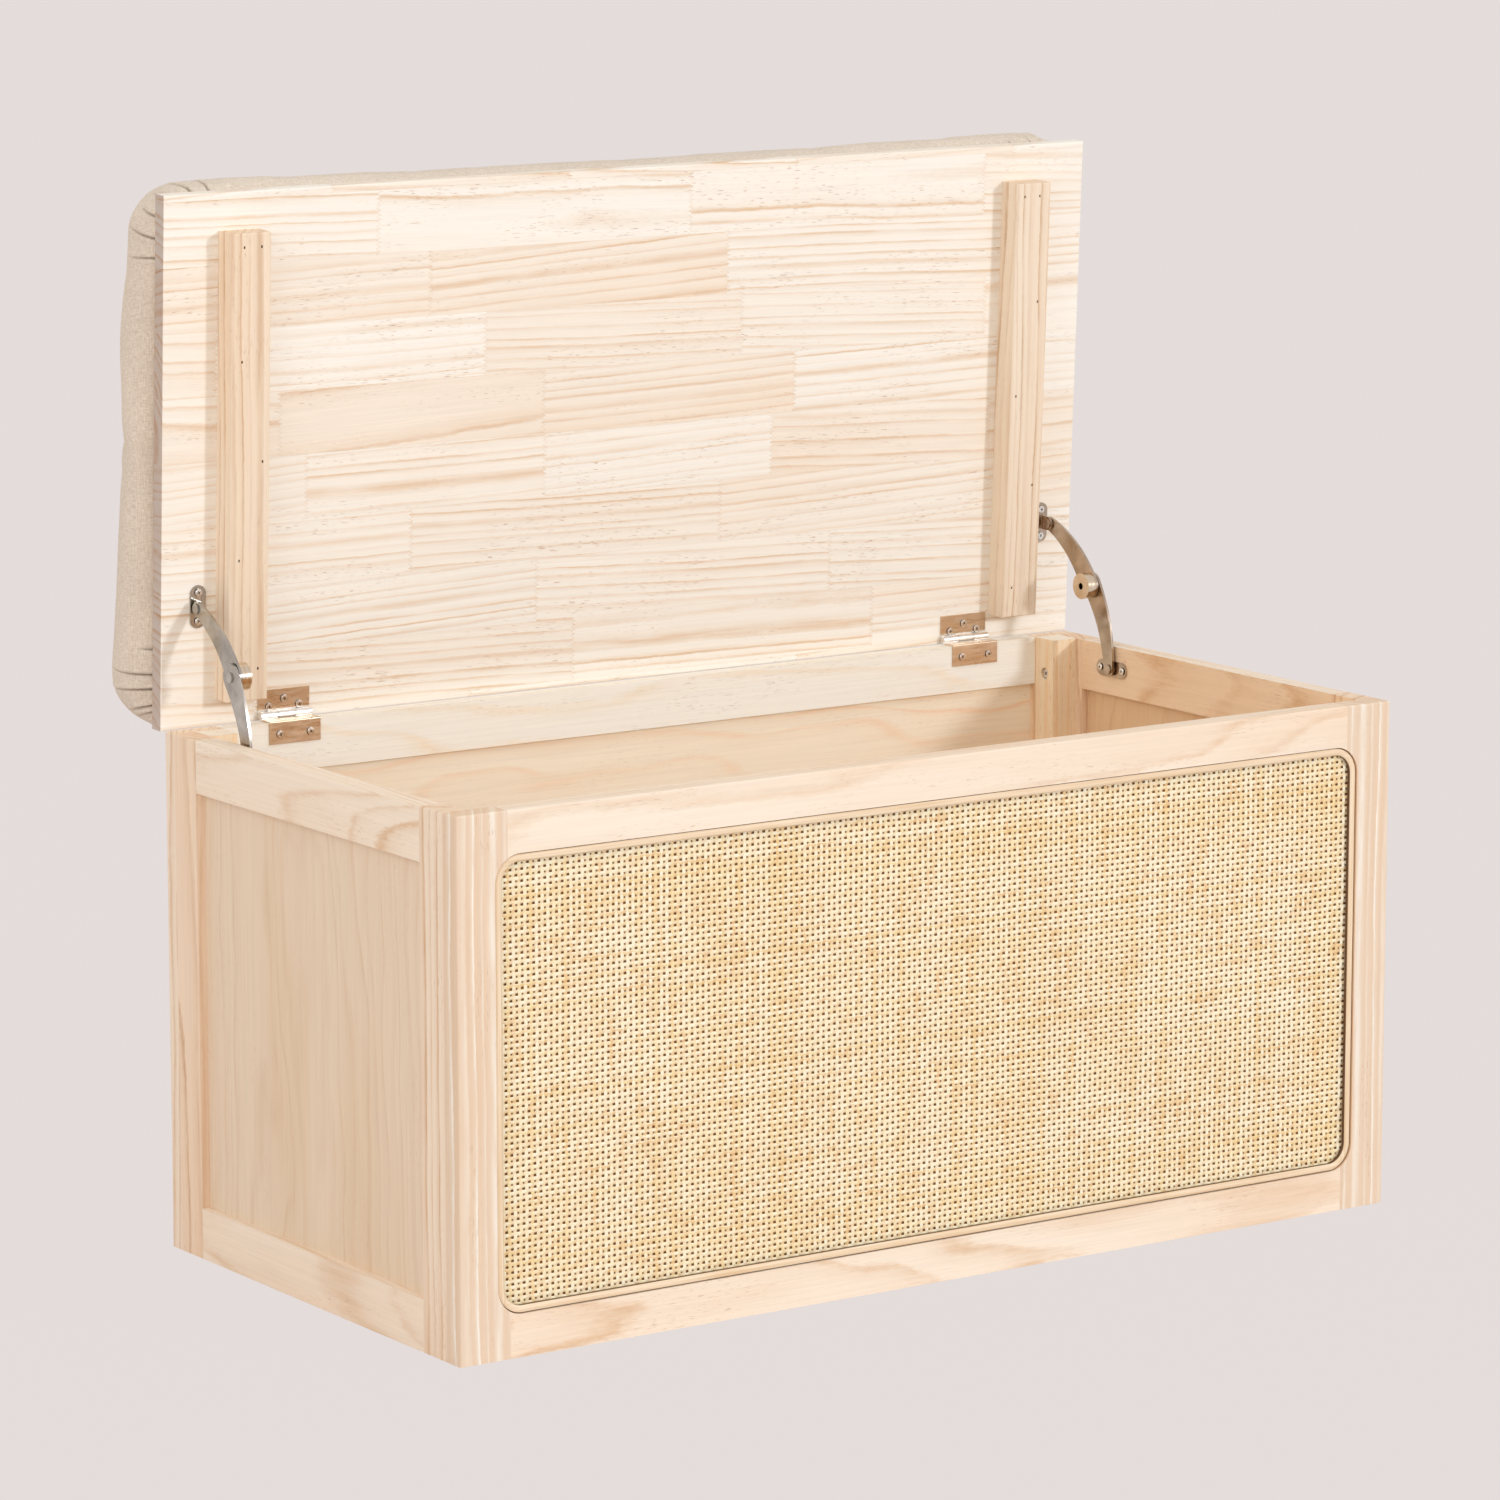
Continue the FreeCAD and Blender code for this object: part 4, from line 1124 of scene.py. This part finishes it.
@dataclass
class ScrewSet:
    """The cross-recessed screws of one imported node, which look one way or two.

    The bevel, the cross, the spacing, the socket's reach and the rim are shares of the head's
    radius or height. Points that are no more than flat below a head's first one are its top.
    """

    node: str
    name: str
    way: Vector
    body: Body
    radius: float = 0.0029
    height: float = 0.0011
    paired: bool = False
    sides: int = 20
    bevel: float = 0.62
    cross: Triple = (1.15, 0.24, 0.9)
    taper: float = 0.55
    spacing: float = 2.4
    flat: float = 0.0001
    socket: Pair = (0.62, 0.00005)
    rim: Pair = (0.9, 0.4)
    smooth_angle: float = math.radians(35)

    def heads(self, way: Vector) -> list[Vector]:
        """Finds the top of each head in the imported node.

        Args:
            way: The way that the heads look.

        Returns:
            The middle of each head's top face.
        """
        spots: list[list[Vector]] = []
        mesh = frame["nodes"][self.node].data
        points = (vertex.co.copy() for vertex in mesh.vertices)
        for point in sorted(points, key=lambda spot: -spot.dot(way)):
            if self.paired and point.x * way.x > 0:
                continue
            for group in spots:
                offset = point - group[0]
                sunk = offset.dot(way)
                if (offset - way * sunk).length < self.radius * self.spacing:
                    if sunk > -self.flat:
                        group.append(point)
                    break
            else:
                spots.append([point])
        tops = []
        for group in spots:
            distinct = {tuple(round(part, 6) for part in spot): spot for spot in group}.values()
            tops.append(sum(distinct, Vector()) / len(distinct))
        return tops

    def cutter(self, angle: float) -> Piece:
        """Models one arm of the recess's cross.

        Args:
            angle: How far the arm is turned.

        Returns:
            The arm, narrower at its foot.
        """
        clear_choice()
        bpy.ops.mesh.primitive_cube_add(size=1.0, location=(0.0, 0.0, 0.0))
        cutter = bpy.context.object
        length, width, depth = self.cross
        cutter.scale = (self.radius * length, self.radius * width, self.height * depth)
        cutter.rotation_euler = (0.0, 0.0, angle)
        settle(cutter)
        for vertex in cutter.data.vertices:
            if vertex.co.z < 0:
                vertex.co.xy *= self.taper
        return cutter

    def head(self) -> Piece:
        """Models one head with its recess.

        Returns:
            The head, its top at the origin and looking along Z.
        """
        clear_choice()
        bpy.ops.mesh.primitive_cylinder_add(vertices=self.sides, radius=self.radius,
                                            depth=self.height, location=-UPWARD * self.height / 2)
        head = bpy.context.object
        settle(head)
        pick_faces(head, lambda face: face.normal.z > 0.9)
        with editing(head, False):
            bpy.ops.mesh.bevel(offset=self.height * self.bevel, segments=3, profile=0.6,
                               affect="EDGES")
        for cutter in [self.cutter(angle) for angle in (0.0, math.pi / 2)]:
            apply_modifier(head, "BOOLEAN", operation="DIFFERENCE", solver="EXACT", object=cutter)
            bpy.data.objects.remove(cutter)
        # The recess attribute marks the faces that get painted shade: inside the cross's socket,
        # and the head's foot below the rim.
        recess = head.data.attributes.new("recess", "FLOAT", "FACE")
        for face in head.data.polygons:
            away, top = face.center.xy.length / self.radius, face.center.z
            inside = away < self.socket[0] and top < -self.socket[1]
            foot = away > self.rim[0] and top < -self.height * self.rim[1]
            recess.data[face.index].value = float(inside or foot)
        return head

    def build(self, material: bpy.types.Material) -> None:
        """Sets a head on every screw and joins them.

        Args:
            material: The screws' material.
        """
        head = self.head()
        chance = random.Random(self.node)
        copies = []
        for way in (self.way, -self.way)[:1 + self.paired]:
            turn = way.to_track_quat("Z", "Y").to_matrix().to_4x4()
            for top in self.heads(way):
                copy = head.copy()
                copy.data = head.data.copy()
                bpy.context.collection.objects.link(copy)
                twist = Matrix.Rotation(chance.uniform(0.0, math.pi), 4, "Z")
                copy.matrix_world = Matrix.Translation(top) @ turn @ twist
                copies.append(copy)
        bpy.data.objects.remove(head)
        screws = merge(self.name, copies)
        settle(screws)
        bpy.ops.object.shade_smooth_by_angle(angle=self.smooth_angle)
        hand_over(screws, self.body, "screw_metal", material, self.node)


@dataclass
class Hardware:
    """The hinges, the stays and all their screws."""

    # The hinge leaves' tan tint is painted reflection of the pine; near the pin's axis the knuckles
    # keep the pale core colour.
    hinge: RoundFinish = RoundFinish((229, 210, 186), (221, 200, 174), 0.3, (60.0, 420.0, 420.0),
                                     core=(250, 248, 245), reach=0.004, fade=0.0004)
    barrel: MetalFinish = MetalFinish((248, 245, 242), (232, 227, 222), 0.18, (900.0, 60.0, 60.0))
    # The right stay's brown tint is painted reflection of the pine; the left stay is a grey copy of
    # the same steel.
    stay: MetalFinish = MetalFinish((206, 191, 174), (176, 159, 140), 0.2, (900.0, 60.0, 60.0))
    grey_stay: MetalFinish = replace(stay, tint=(204, 200, 192), shade=(172, 167, 158))
    # The drum's warm tint is painted reflection of the pine.
    drum: RoundFinish = RoundFinish((232, 218, 198), (212, 194, 168), 0.2, (900.0, 60.0, 60.0))
    screw: ScrewFinish = ScrewFinish((248, 246, 242), (228, 224, 218), 0.24, (600.0,) * 3)
    # The brads' near-black colour is partly the steel's own and partly painted shade of the small
    # holes they sit in.
    brad: MetalFinish = MetalFinish((46, 34, 26), (26, 20, 16), 0.6, (600.0,) * 3)

    def dress(self) -> None:
        """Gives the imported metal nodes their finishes."""
        pivot = next(joint["pos_m"] for joint in frame["joints"] if joint["name"] == "lid_hinge")
        hinge = replace(self.hinge, axis=tuple(pivot[1:])).material("hinge_plate")
        barrel = self.barrel.material("hinge_barrel")
        paint_node("batten_brads", self.brad.material("brad_steel"))
        for side, steel in (("left", self.grey_stay), ("right", self.stay)):
            steel = steel.material(side + "_stay_steel")
            drum = side + "_stay_spring_drum"
            low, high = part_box(drum)
            centred = replace(self.drum, axis=tuple((low + high).yz / 2))
            for part, metal in (
                ("hinge_upper_leaf", hinge), ("hinge_lower_leaf", hinge), ("hinge_pin", barrel),
                ("stay_lower_arm", steel), ("stay_upper_arm", steel), ("stay_body_bracket", steel),
                ("stay_lid_bracket", steel), ("stay_spring_drum", centred.material(side + "_drum")),
            ):
                paint_node(f"{side}_{part}", metal)

    def build(self) -> None:
        """Dresses the metal nodes and models the screws."""
        self.dress()
        screw = self.screw.material("screw_steel")
        under, front, inward = (
            Vector(face.value) for face in (Face.UNDER_LID, Face.FRONT, Face.RIGHT))
        for screws in (
            ScrewSet("hinge_lid_screws", "lid_hinge_screw_heads", under, Body.LID),
            ScrewSet("stay_lid_screws", "lid_stay_screw_heads", under, Body.LID),
            ScrewSet("hinge_rail_screws", "rail_hinge_screw_heads", front, Body.CASE),
            ScrewSet("stay_body_screws", "rail_stay_screw_heads", inward, Body.CASE, paired=True),
            ScrewSet("corner_block_screws", "corner_screw_heads", inward, Body.CASE, 0.004, 0.0026,
                     paired=True),
        ):
            screws.build(screw)


@dataclass
class Woodwork:
    """Every board and panel of the case and the lid."""

    ply: PineFinish = PineFinish((239, 222, 201), (221, 191, 159), (247, 231, 211), contrast=0.5,
                                 fleck_share=0.3, painted_well_bounce=0.8)
    # A near-white copy of the ply for the rear and bottom panels: painted light that brightens the
    # inside of the case.
    painted_light_ply: PineFinish = PineFinish((255, 246, 229), (252, 218, 184), (255, 242, 224),
                                       contrast=0.75, fleck_share=0.35)
    streaked: PineFinish = PineFinish((250, 235, 218), (216, 178, 139), contrast=0.95, painted_well_bounce=0.7)
    banded: PineFinish = PineFinish((236, 214, 191), (255, 253, 246), contrast=1.1, painted_well_bounce=0.7)
    batten: PineFinish = PineFinish((248, 234, 215), (211, 176, 140), contrast=0.95)
    pale: PineFinish = PineFinish((252, 240, 225), (228, 194, 156), contrast=0.85, painted_well_bounce=0.7)
    # A near-white copy of the pine for the rear top rail and, through block, the corner blocks:
    # painted light that brightens the inside of the case.
    painted_light_pine: PineFinish = PineFinish((255, 254, 248), (252, 230, 198), (255, 247, 233))
    block: PineFinish = replace(painted_light_pine, painted_well_bounce=0.9)
    ruddy: PineFinish = PineFinish((249, 228, 206), (212, 171, 132), contrast=0.95)

    def boards(self) -> Iterator[Board]:
        """Lists the boards, the way each is cut and its finish.

        The numbers are the pith's depth and its place aside, the rings' pitch, how far they
        wander and their slope.

        Yields:
            Each board.
        """
        up, across, deep, lid_deep = Grain.UP, Grain.ACROSS, Grain.DEEP, Grain.LID_DEEP
        front, rear, under = Face.FRONT, Face.REAR, Face.UNDER_LID
        rows = [
            ("front_left_stile", up, front, 0.03, 0.13, 0.0078, 0.01, 0.006, self.banded),
            ("front_right_stile", up, front, 0.03, -0.12, 0.0074, 0.01, 0.006, self.banded),
            ("front_top_rail", across, front, 0.06, 0.03, 0.0058, 0.018, 0.02, self.pale),
            ("front_bottom_rail", across, front, 0.045, -0.01, 0.005, 0.022, 0.03, self.pale),
        ]
        for side, out, sign in (("left", Face.LEFT, 1.0), ("right", Face.RIGHT, -1.0)):
            rows += [(f"{side}_{name}", *row) for name, *row in (
                ("side_front_stile", up, out, 0.03, 0.11 * sign, 0.0085, 0.014, 0.008,
                 self.streaked),
                ("side_rear_stile", up, out, 0.05, 0.03 * sign, 0.006, 0.016, 0.012, self.ruddy),
                ("side_top_rail", deep, out, 0.04, 0.02, 0.0055, 0.02, 0.05, self.pale),
                ("side_bottom_rail", deep, out, 0.05, -0.01, 0.0055, 0.02, 0.05, self.pale),
                ("side_panel", up, out, 0.03, 0.02 * sign, 0.009, 0.06, 0.03, self.ply),
                ("front_corner_block", up, out, 0.03, 0.06, 0.007, 0.012, 0.01, self.block),
                ("rear_corner_block", up, out, 0.03, 0.06, 0.007, 0.012, 0.01, self.block),
                ("batten", lid_deep, under, 0.02, 0.09 * sign, 0.0062, 0.012, 0.01, self.batten),
            )]
        rows += [
            ("rear_left_stile", up, rear, 0.02, 0.12, 0.0052, 0.012, 0.008, self.streaked),
            ("rear_right_stile", up, rear, 0.02, 0.12, 0.0052, 0.012, 0.008, self.streaked),
            ("rear_top_rail", across, rear, 0.07, 0.02, 0.0058, 0.02, 0.02, self.painted_light_pine),
            ("rear_bottom_rail", across, rear, 0.05, 0.0, 0.0055, 0.02, 0.02, self.pale),
            ("rear_panel", across, rear, 0.03, 0.02, 0.011, 0.07, 0.03, self.painted_light_ply),
            ("bottom_panel", across, Face.TOP, 0.03, 0.02, 0.011, 0.07, 0.03, self.painted_light_ply),
            ("lid_board", across, under, 0.0, 0.0, 0.0074, 0.009, 0.0, StaveFinish()),
        ]
        yield from (Board(*row) for row in rows)

    def build(self) -> None:
        """Dresses every board."""
        for board in self.boards():
            board.dress()
            log.info("%s: %s", board.node, type(board.finish).__name__)


@dataclass(frozen=True)
class Fold:
    """A fold of the pad's cloth that starts at the board's edge, near a corner."""

    start: float
    lean: float
    reach: float
    depth: float = 0.002
    width: float = 0.0009
    foot: float = 0.002
    fade: float = 0.7
    ridge: Triple = (0.8, 2.6, 1.9)

    def press(self, along: float, height: float) -> Pair:
        """Gives what the fold does to one point of the cloth.

        Args:
            along: How far from the corner the point is, in metres.
            height: How far above the board it is.

        Returns:
            How far it moves outwards, and how much painted shade it gets in the fold's valley, from
            0 to 1.
        """
        if not 0.0 < height < self.reach:
            return 0.0, 0.0
        share = height / self.reach
        away = (along - (self.start - self.lean * share)) / self.width
        fade = min(1.0, height / self.foot) * (1.0 - share) ** self.fade
        rise, aside, spread = self.ridge
        valley, ridge = math.exp(-(away**2)), math.exp(-(((away - aside) / spread) ** 2))
        return self.depth * fade * (rise * ridge - valley), valley * fade


@dataclass
class Cushion:
    """The linen pad on the lid, stapled all round to the board. Sizes are in metres.

    The swells are the front's and the rear's. The ends' swell grows from end_front[0] behind the
    front edge over end_front[1], and drops by the share end_rear[0] over the last end_rear[1].
    The folds are those at the front and rear corners, or the left and right ones.
    """

    voxel: float = 0.0054
    pressure: float = 4.0
    steps: int = 20
    cap: float = 0.006
    pinned: float = 0.0035
    end_swell: Pair = (0.0088, 0.0132)
    end_front: Pair = (0.008, 0.11)
    end_rear: Pair = (0.3, 0.05)
    long_swell: Pair = (0.0016, 0.0045)
    level_share: float = 0.1
    roundness: float = 0.35
    corner_tuck: Pair = (0.002, 0.06)
    lift: float = 0.003
    crown_foot: float = 0.018
    shoulder: float = 0.02
    slack: float = 0.002
    foam: float = 0.045
    fold_zone: Triple = (0.055, 0.01, 0.044)
    fold_cuts: int = 3
    hem: float = 0.0005
    staple_pitch: float = 0.028
    staple_drift: Pair = (1.4, 41.0)
    pucker: Triple = (0.0006, 0.008, 0.012)
    uneven: tuple[Pair, ...] = ((0.0009, 14.0), (0.0004, 45.0))
    folds: tuple[tuple[Fold, ...], ...] = (
        (Fold(0.008, 0.006, 0.02, 0.0016), Fold(0.018, 0.0064, 0.03),
         Fold(0.033, 0.0073, 0.04, 0.002), Fold(0.046, -0.0019, 0.034, 0.0016)),
        (Fold(0.012, 0.0084, 0.024), Fold(0.0165, 0.009, 0.028),
         Fold(0.028, 0.0054, 0.044, 0.0022), Fold(0.038, -0.001, 0.036, 0.0016),
         Fold(0.056, -0.003, 0.02, 0.001)),
    )
    finish: LinenFinish = LinenFinish()

    def __post_init__(self) -> None:
        """Finds the turn that lays the open lid flat, and the flat board's corners."""
        hinge = next(joint for joint in frame["joints"] if joint["name"] == "lid_hinge")
        pivot = Matrix.Translation(hinge["pos_m"])
        self.flat = pivot @ Matrix.Rotation(LID_OPEN, 4, "X") @ pivot.inverted()
        points = [self.flat @ vertex.co for vertex in frame["nodes"]["lid_board"].data.vertices]
        self.low, self.high = (Vector(pick(point[axis] for point in points) for axis in range(3))
                               for pick in (min, max))

    def start(self) -> None:
        """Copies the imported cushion, lays it flat and remeshes it."""
        pad = self.pad = frame["nodes"]["cushion"].copy()
        pad.data = pad.data.copy()
        pad.name = pad.data.name = "linen_pad"
        pad.parent = None
        pad.matrix_world = Matrix.Identity(4)
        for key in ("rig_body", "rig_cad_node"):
            del pad[key]
        bpy.context.collection.objects.link(pad)
        pad.hide_render = False
        with editing(pad):
            bpy.ops.mesh.remove_doubles(threshold=MERGE)
        pad.data.transform(self.flat)
        apply_modifier(pad, "REMESH", mode="VOXEL", voxel_size=self.voxel)

    def spread(self, place: Vector) -> Triple:
        """Gives a point's place over the board.

        Args:
            place: The point, in the flat lid's frame.

        Returns:
            How far it is inside the board's ends, inside its long edges, and above its face.
        """
        half, offset = (self.high - self.low) / 2, place - (self.low + self.high) / 2
        return half.x - abs(offset.x), half.y - abs(offset.y), place.z - self.high.z

    def points(self) -> Iterator[tuple[bpy.types.MeshVertex, Vector, float, float, float]]:
        """Goes through the pad's points.

        Yields:
            Each vertex, its normal at the start, and its place over the board.
        """
        vertices = self.pad.data.vertices
        for vertex, normal in zip(vertices, [vertex.normal.copy() for vertex in vertices]):
            yield vertex, normal, *self.spread(vertex.co)

    def plump(self) -> None:
        """Rounds the pad's sides and corners outwards."""
        for vertex, normal, away_x, _, height in self.points():
            if height <= 0.0:
                continue
            vertex.co.z += self.lift * ease(height - self.crown_foot, self.shoulder)
            out = normal.xy
            if out.length < self.level_share:
                continue
            front, rear = vertex.co.y - self.low.y, self.high.y - vertex.co.y
            swell, more = self.end_swell
            ends = swell + (more - swell) * front / (front + rear)
            level, reach = self.end_front
            drop, rear_reach = self.end_rear
            ends *= ease(front - level, reach) * (1.0 - drop + drop * ease(rear, rear_reach))
            tuck, tuck_reach = self.corner_tuck
            sides = self.long_swell[normal.y > 0.0] - tuck * (1.0 - ease(away_x, tuck_reach))
            curve = math.sin(min(1.0, height / self.shoulder) * math.pi / 2)
            way = out.normalized() * curve * out.length**self.roundness
            vertex.co.x += way.x * ends
            vertex.co.y += way.y * sides

    def fill(self) -> None:
        """Lets the cloth swell and pucker round its foam, held along the board."""
        pad = self.pad
        before = [vertex.co.copy() for vertex in pad.data.vertices]
        held = [vertex.index for vertex, _, away_x, away_y, height in self.points()
                if height < self.pinned or min(away_x, away_y) > self.foam]
        group = pad.vertex_groups.new(name="held")
        group.add(held, 1.0, "REPLACE")
        cloth = pad.modifiers.new("filling", "CLOTH")
        cloth.settings.use_pressure = True
        cloth.settings.uniform_pressure_force = self.pressure
        cloth.settings.shrink_min = -self.slack
        cloth.settings.effector_weights.gravity = 0.0
        cloth.settings.vertex_group_mass = group.name
        for step in range(self.steps):
            bpy.context.scene.frame_set(step + 1)
        choose(pad)
        bpy.ops.object.modifier_apply(modifier=cloth.name)
        bpy.context.scene.frame_set(1)
        pad.vertex_groups.clear()
        for vertex, place in zip(pad.data.vertices, before):
            move = vertex.co - place
            if move.length > self.cap:
                vertex.co = place + move * (self.cap / move.length)

    def folded(self, face: bpy.types.MeshPolygon) -> bool:
        """Tells whether a face is where the folds are.

        Args:
            face: The face.

        Returns:
            Whether it gets finer.
        """
        far, near, top = self.fold_zone
        away_x, away_y, height = self.spread(face.center)
        return max(away_x, away_y) < far and min(away_x, away_y) < near and 0.0 < height < top

    def crease(self) -> None:
        """Presses the corner folds, the puckers between staples and a slow unevenness in, and
        stores the folds' painted shade in the fold attribute.
        """
        middle = (self.low + self.high) / 2
        painted_fold_shade = self.pad.data.attributes.new("fold", "FLOAT", "POINT")
        for vertex, normal, away_x, away_y, height in self.points():
            if height < self.hem:
                continue
            x, y, _ = vertex.co - middle
            along, side, upper = (away_y, y, y > 0) if away_x < away_y else (away_x, x, x > 0)
            pressed = [fold.press(along, height) for fold in self.folds[upper]]
            push = sum(moved for moved, _ in pressed)
            depth, reach, edge = self.pucker
            if min(away_x, away_y) < edge:
                drift, waves = self.staple_drift
                turn = math.tau * side / self.staple_pitch + drift * math.sin(side * waves)
                push += depth * math.cos(turn) * math.exp(-height / reach)
            push += sum(depth * noise.noise(vertex.co * scale) for depth, scale in self.uneven)
            vertex.co += normal * push
            painted_fold_shade.data[vertex.index].value = max(dark for _, dark in pressed)

    def build(self) -> None:
        """Builds, fills and creases the pad."""
        self.start()
        self.plump()
        self.fill()
        pad = self.pad
        apply_modifier(pad, "SUBSURF", levels=1, render_levels=1)
        pick_faces(pad, self.folded)
        with editing(pad, False):
            bpy.ops.mesh.subdivide(number_cuts=self.fold_cuts, smoothness=1.0)
        self.crease()
        choose(pad)
        bpy.ops.object.shade_smooth()
        with editing(pad):
            bpy.ops.uv.cube_project(cube_size=1.0, correct_aspect=False)
        pad.data.transform(self.flat.inverted())
        hand_over(pad, Body.LID, "linen", self.finish.material("linen"), "cushion")


@dataclass
class Studio:
    """The camera, the lamps, the floor and the backdrop."""

    spot: Triple = (-2.5928, -3.78, 1.1707)
    yaw: float = 34.351
    pitch: float = -10.196
    focal_pixels: float = 6435.8
    picture: float = 1500.0
    sensor: float = 36.0
    aim: Triple = (0.0, 0.0, 0.35)
    backdrop: Colour = (229, 221, 219)
    around: float = 0.77
    around_tint: tuple[float, ...] = (1.0, 0.95, 0.89, 1.0)
    plain: float = 0.97
    floor_size: float = 80.0
    floor_drop: float = 0.0003
    lamps: tuple[tuple[str, Triple, float, float, Triple], ...] = (
        ("key", (5.46, -11.18, 3.86), 1.3, 500.0, (0.912, 0.956, 1.0)),
        ("fill", (-3.6, -1.6, 2.2), 2.4, 30.0, (1.0, 0.965, 0.92)),
    )

    def place(self, data: bpy.types.ID, spot: Triple, turn: object) -> Piece:
        """Puts a camera or a lamp into the scene.

        Args:
            data: The camera's or the lamp's data.
            spot: Where it goes.
            turn: Its Euler angles.

        Returns:
            The new object.
        """
        made = bpy.data.objects.new(data.name, data)
        made.location = spot
        made.rotation_euler = turn
        bpy.context.collection.objects.link(made)
        return made

    def camera(self) -> None:
        """Makes the camera at the photograph's place."""
        lens = bpy.data.cameras.new("camera")
        lens.sensor_width = self.sensor
        lens.lens = self.focal_pixels / self.picture * self.sensor
        lens.clip_end = 100.0
        turn = (math.radians(90.0 + self.pitch), 0.0, -math.radians(self.yaw))
        bpy.context.scene.camera = self.place(lens, self.spot, turn)

    def lamp(self, name: str, spot: Triple, size: float, power: float, colour: Triple) -> None:
        """Hangs a square lamp that looks at the trunk.

        Args:
            name: The lamp's name.
            spot: Where it hangs.
            size: Its side, in metres.
            power: Its power, in watts.
            colour: Its colour.
        """
        light = bpy.data.lights.new(name, "AREA")
        light.shape = "SQUARE"
        light.size = size
        light.energy = power
        light.color = colour
        aim = Vector(self.aim) - Vector(spot)
        self.place(light, spot, aim.to_track_quat("-Z", "Y").to_euler())

    def seen(self, graph: Graph) -> Wire:
        """Gives a mask of the rays that should meet the plain backdrop.

        Args:
            graph: The graph to add it to.

        Returns:
            1 for the camera's, glossy and transmitted rays, else 0.
        """
        rays = graph.node("LightPath").outputs
        camera, glossy, through = (
            Wire(graph, rays[f"Is {kind} Ray"]) for kind in ("Camera", "Glossy", "Transmission"))
        return camera.reckon("MAXIMUM", glossy.reckon("MAXIMUM", through))

    def world(self) -> None:
        """Lights the scene evenly from all round."""
        world = bpy.context.scene.world = bpy.data.worlds.new("studio")
        graph = Graph(cleared(world))
        seen, soft = graph.node("Background"), graph.node("Background")
        graph.feed(seen.inputs[0], self.backdrop)
        soft.inputs[0].default_value = self.around_tint
        soft.inputs[1].default_value = self.around
        graph.layer(self.seen(graph), soft, seen, "OutputWorld")

    def floor(self) -> None:
        """Lays the floor, which takes the trunk's shadow."""
        clear_choice()
        bpy.ops.mesh.primitive_plane_add(size=self.floor_size, location=-UPWARD * self.floor_drop)
        floor = bpy.context.object
        floor.name = "floor"
        material = bpy.data.materials.new("floor")
        graph = Graph(cleared(material))
        cloud = graph.add("TexCoord", output="Object").noise((3.0, 3.0, 3.0))
        matt, glow = graph.node("BsdfDiffuse"), graph.node("Emission")
        shade = cloud.span(0.3, 0.7, 0.995, 1.005)
        graph.feed(matt.inputs[0], graph.mix(1.0, self.backdrop, shade, "MULTIPLY"))
        graph.feed(glow.inputs[0], self.backdrop)
        graph.layer(self.seen(graph) * self.plain, matt, glow, "OutputMaterial")
        floor.data.materials.append(material)

    def build(self) -> None:
        """Sets up the camera, the light and the floor."""
        bpy.context.scene.view_settings.view_transform = "Standard"
        self.camera()
        for lamp in self.lamps:
            self.lamp(*lamp)
        self.world()
        self.floor()


def main() -> None:
    """Builds the trunk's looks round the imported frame."""
    logging.basicConfig(level=logging.INFO, format="%(name)s: %(message)s")
    for part in (Studio(), Woodwork(), CaneFront(), Hardware(), Cushion()):
        log.info("building %s", type(part).__name__)
        part.build()
    clear_choice()


if __name__ == "__main__":
    main()
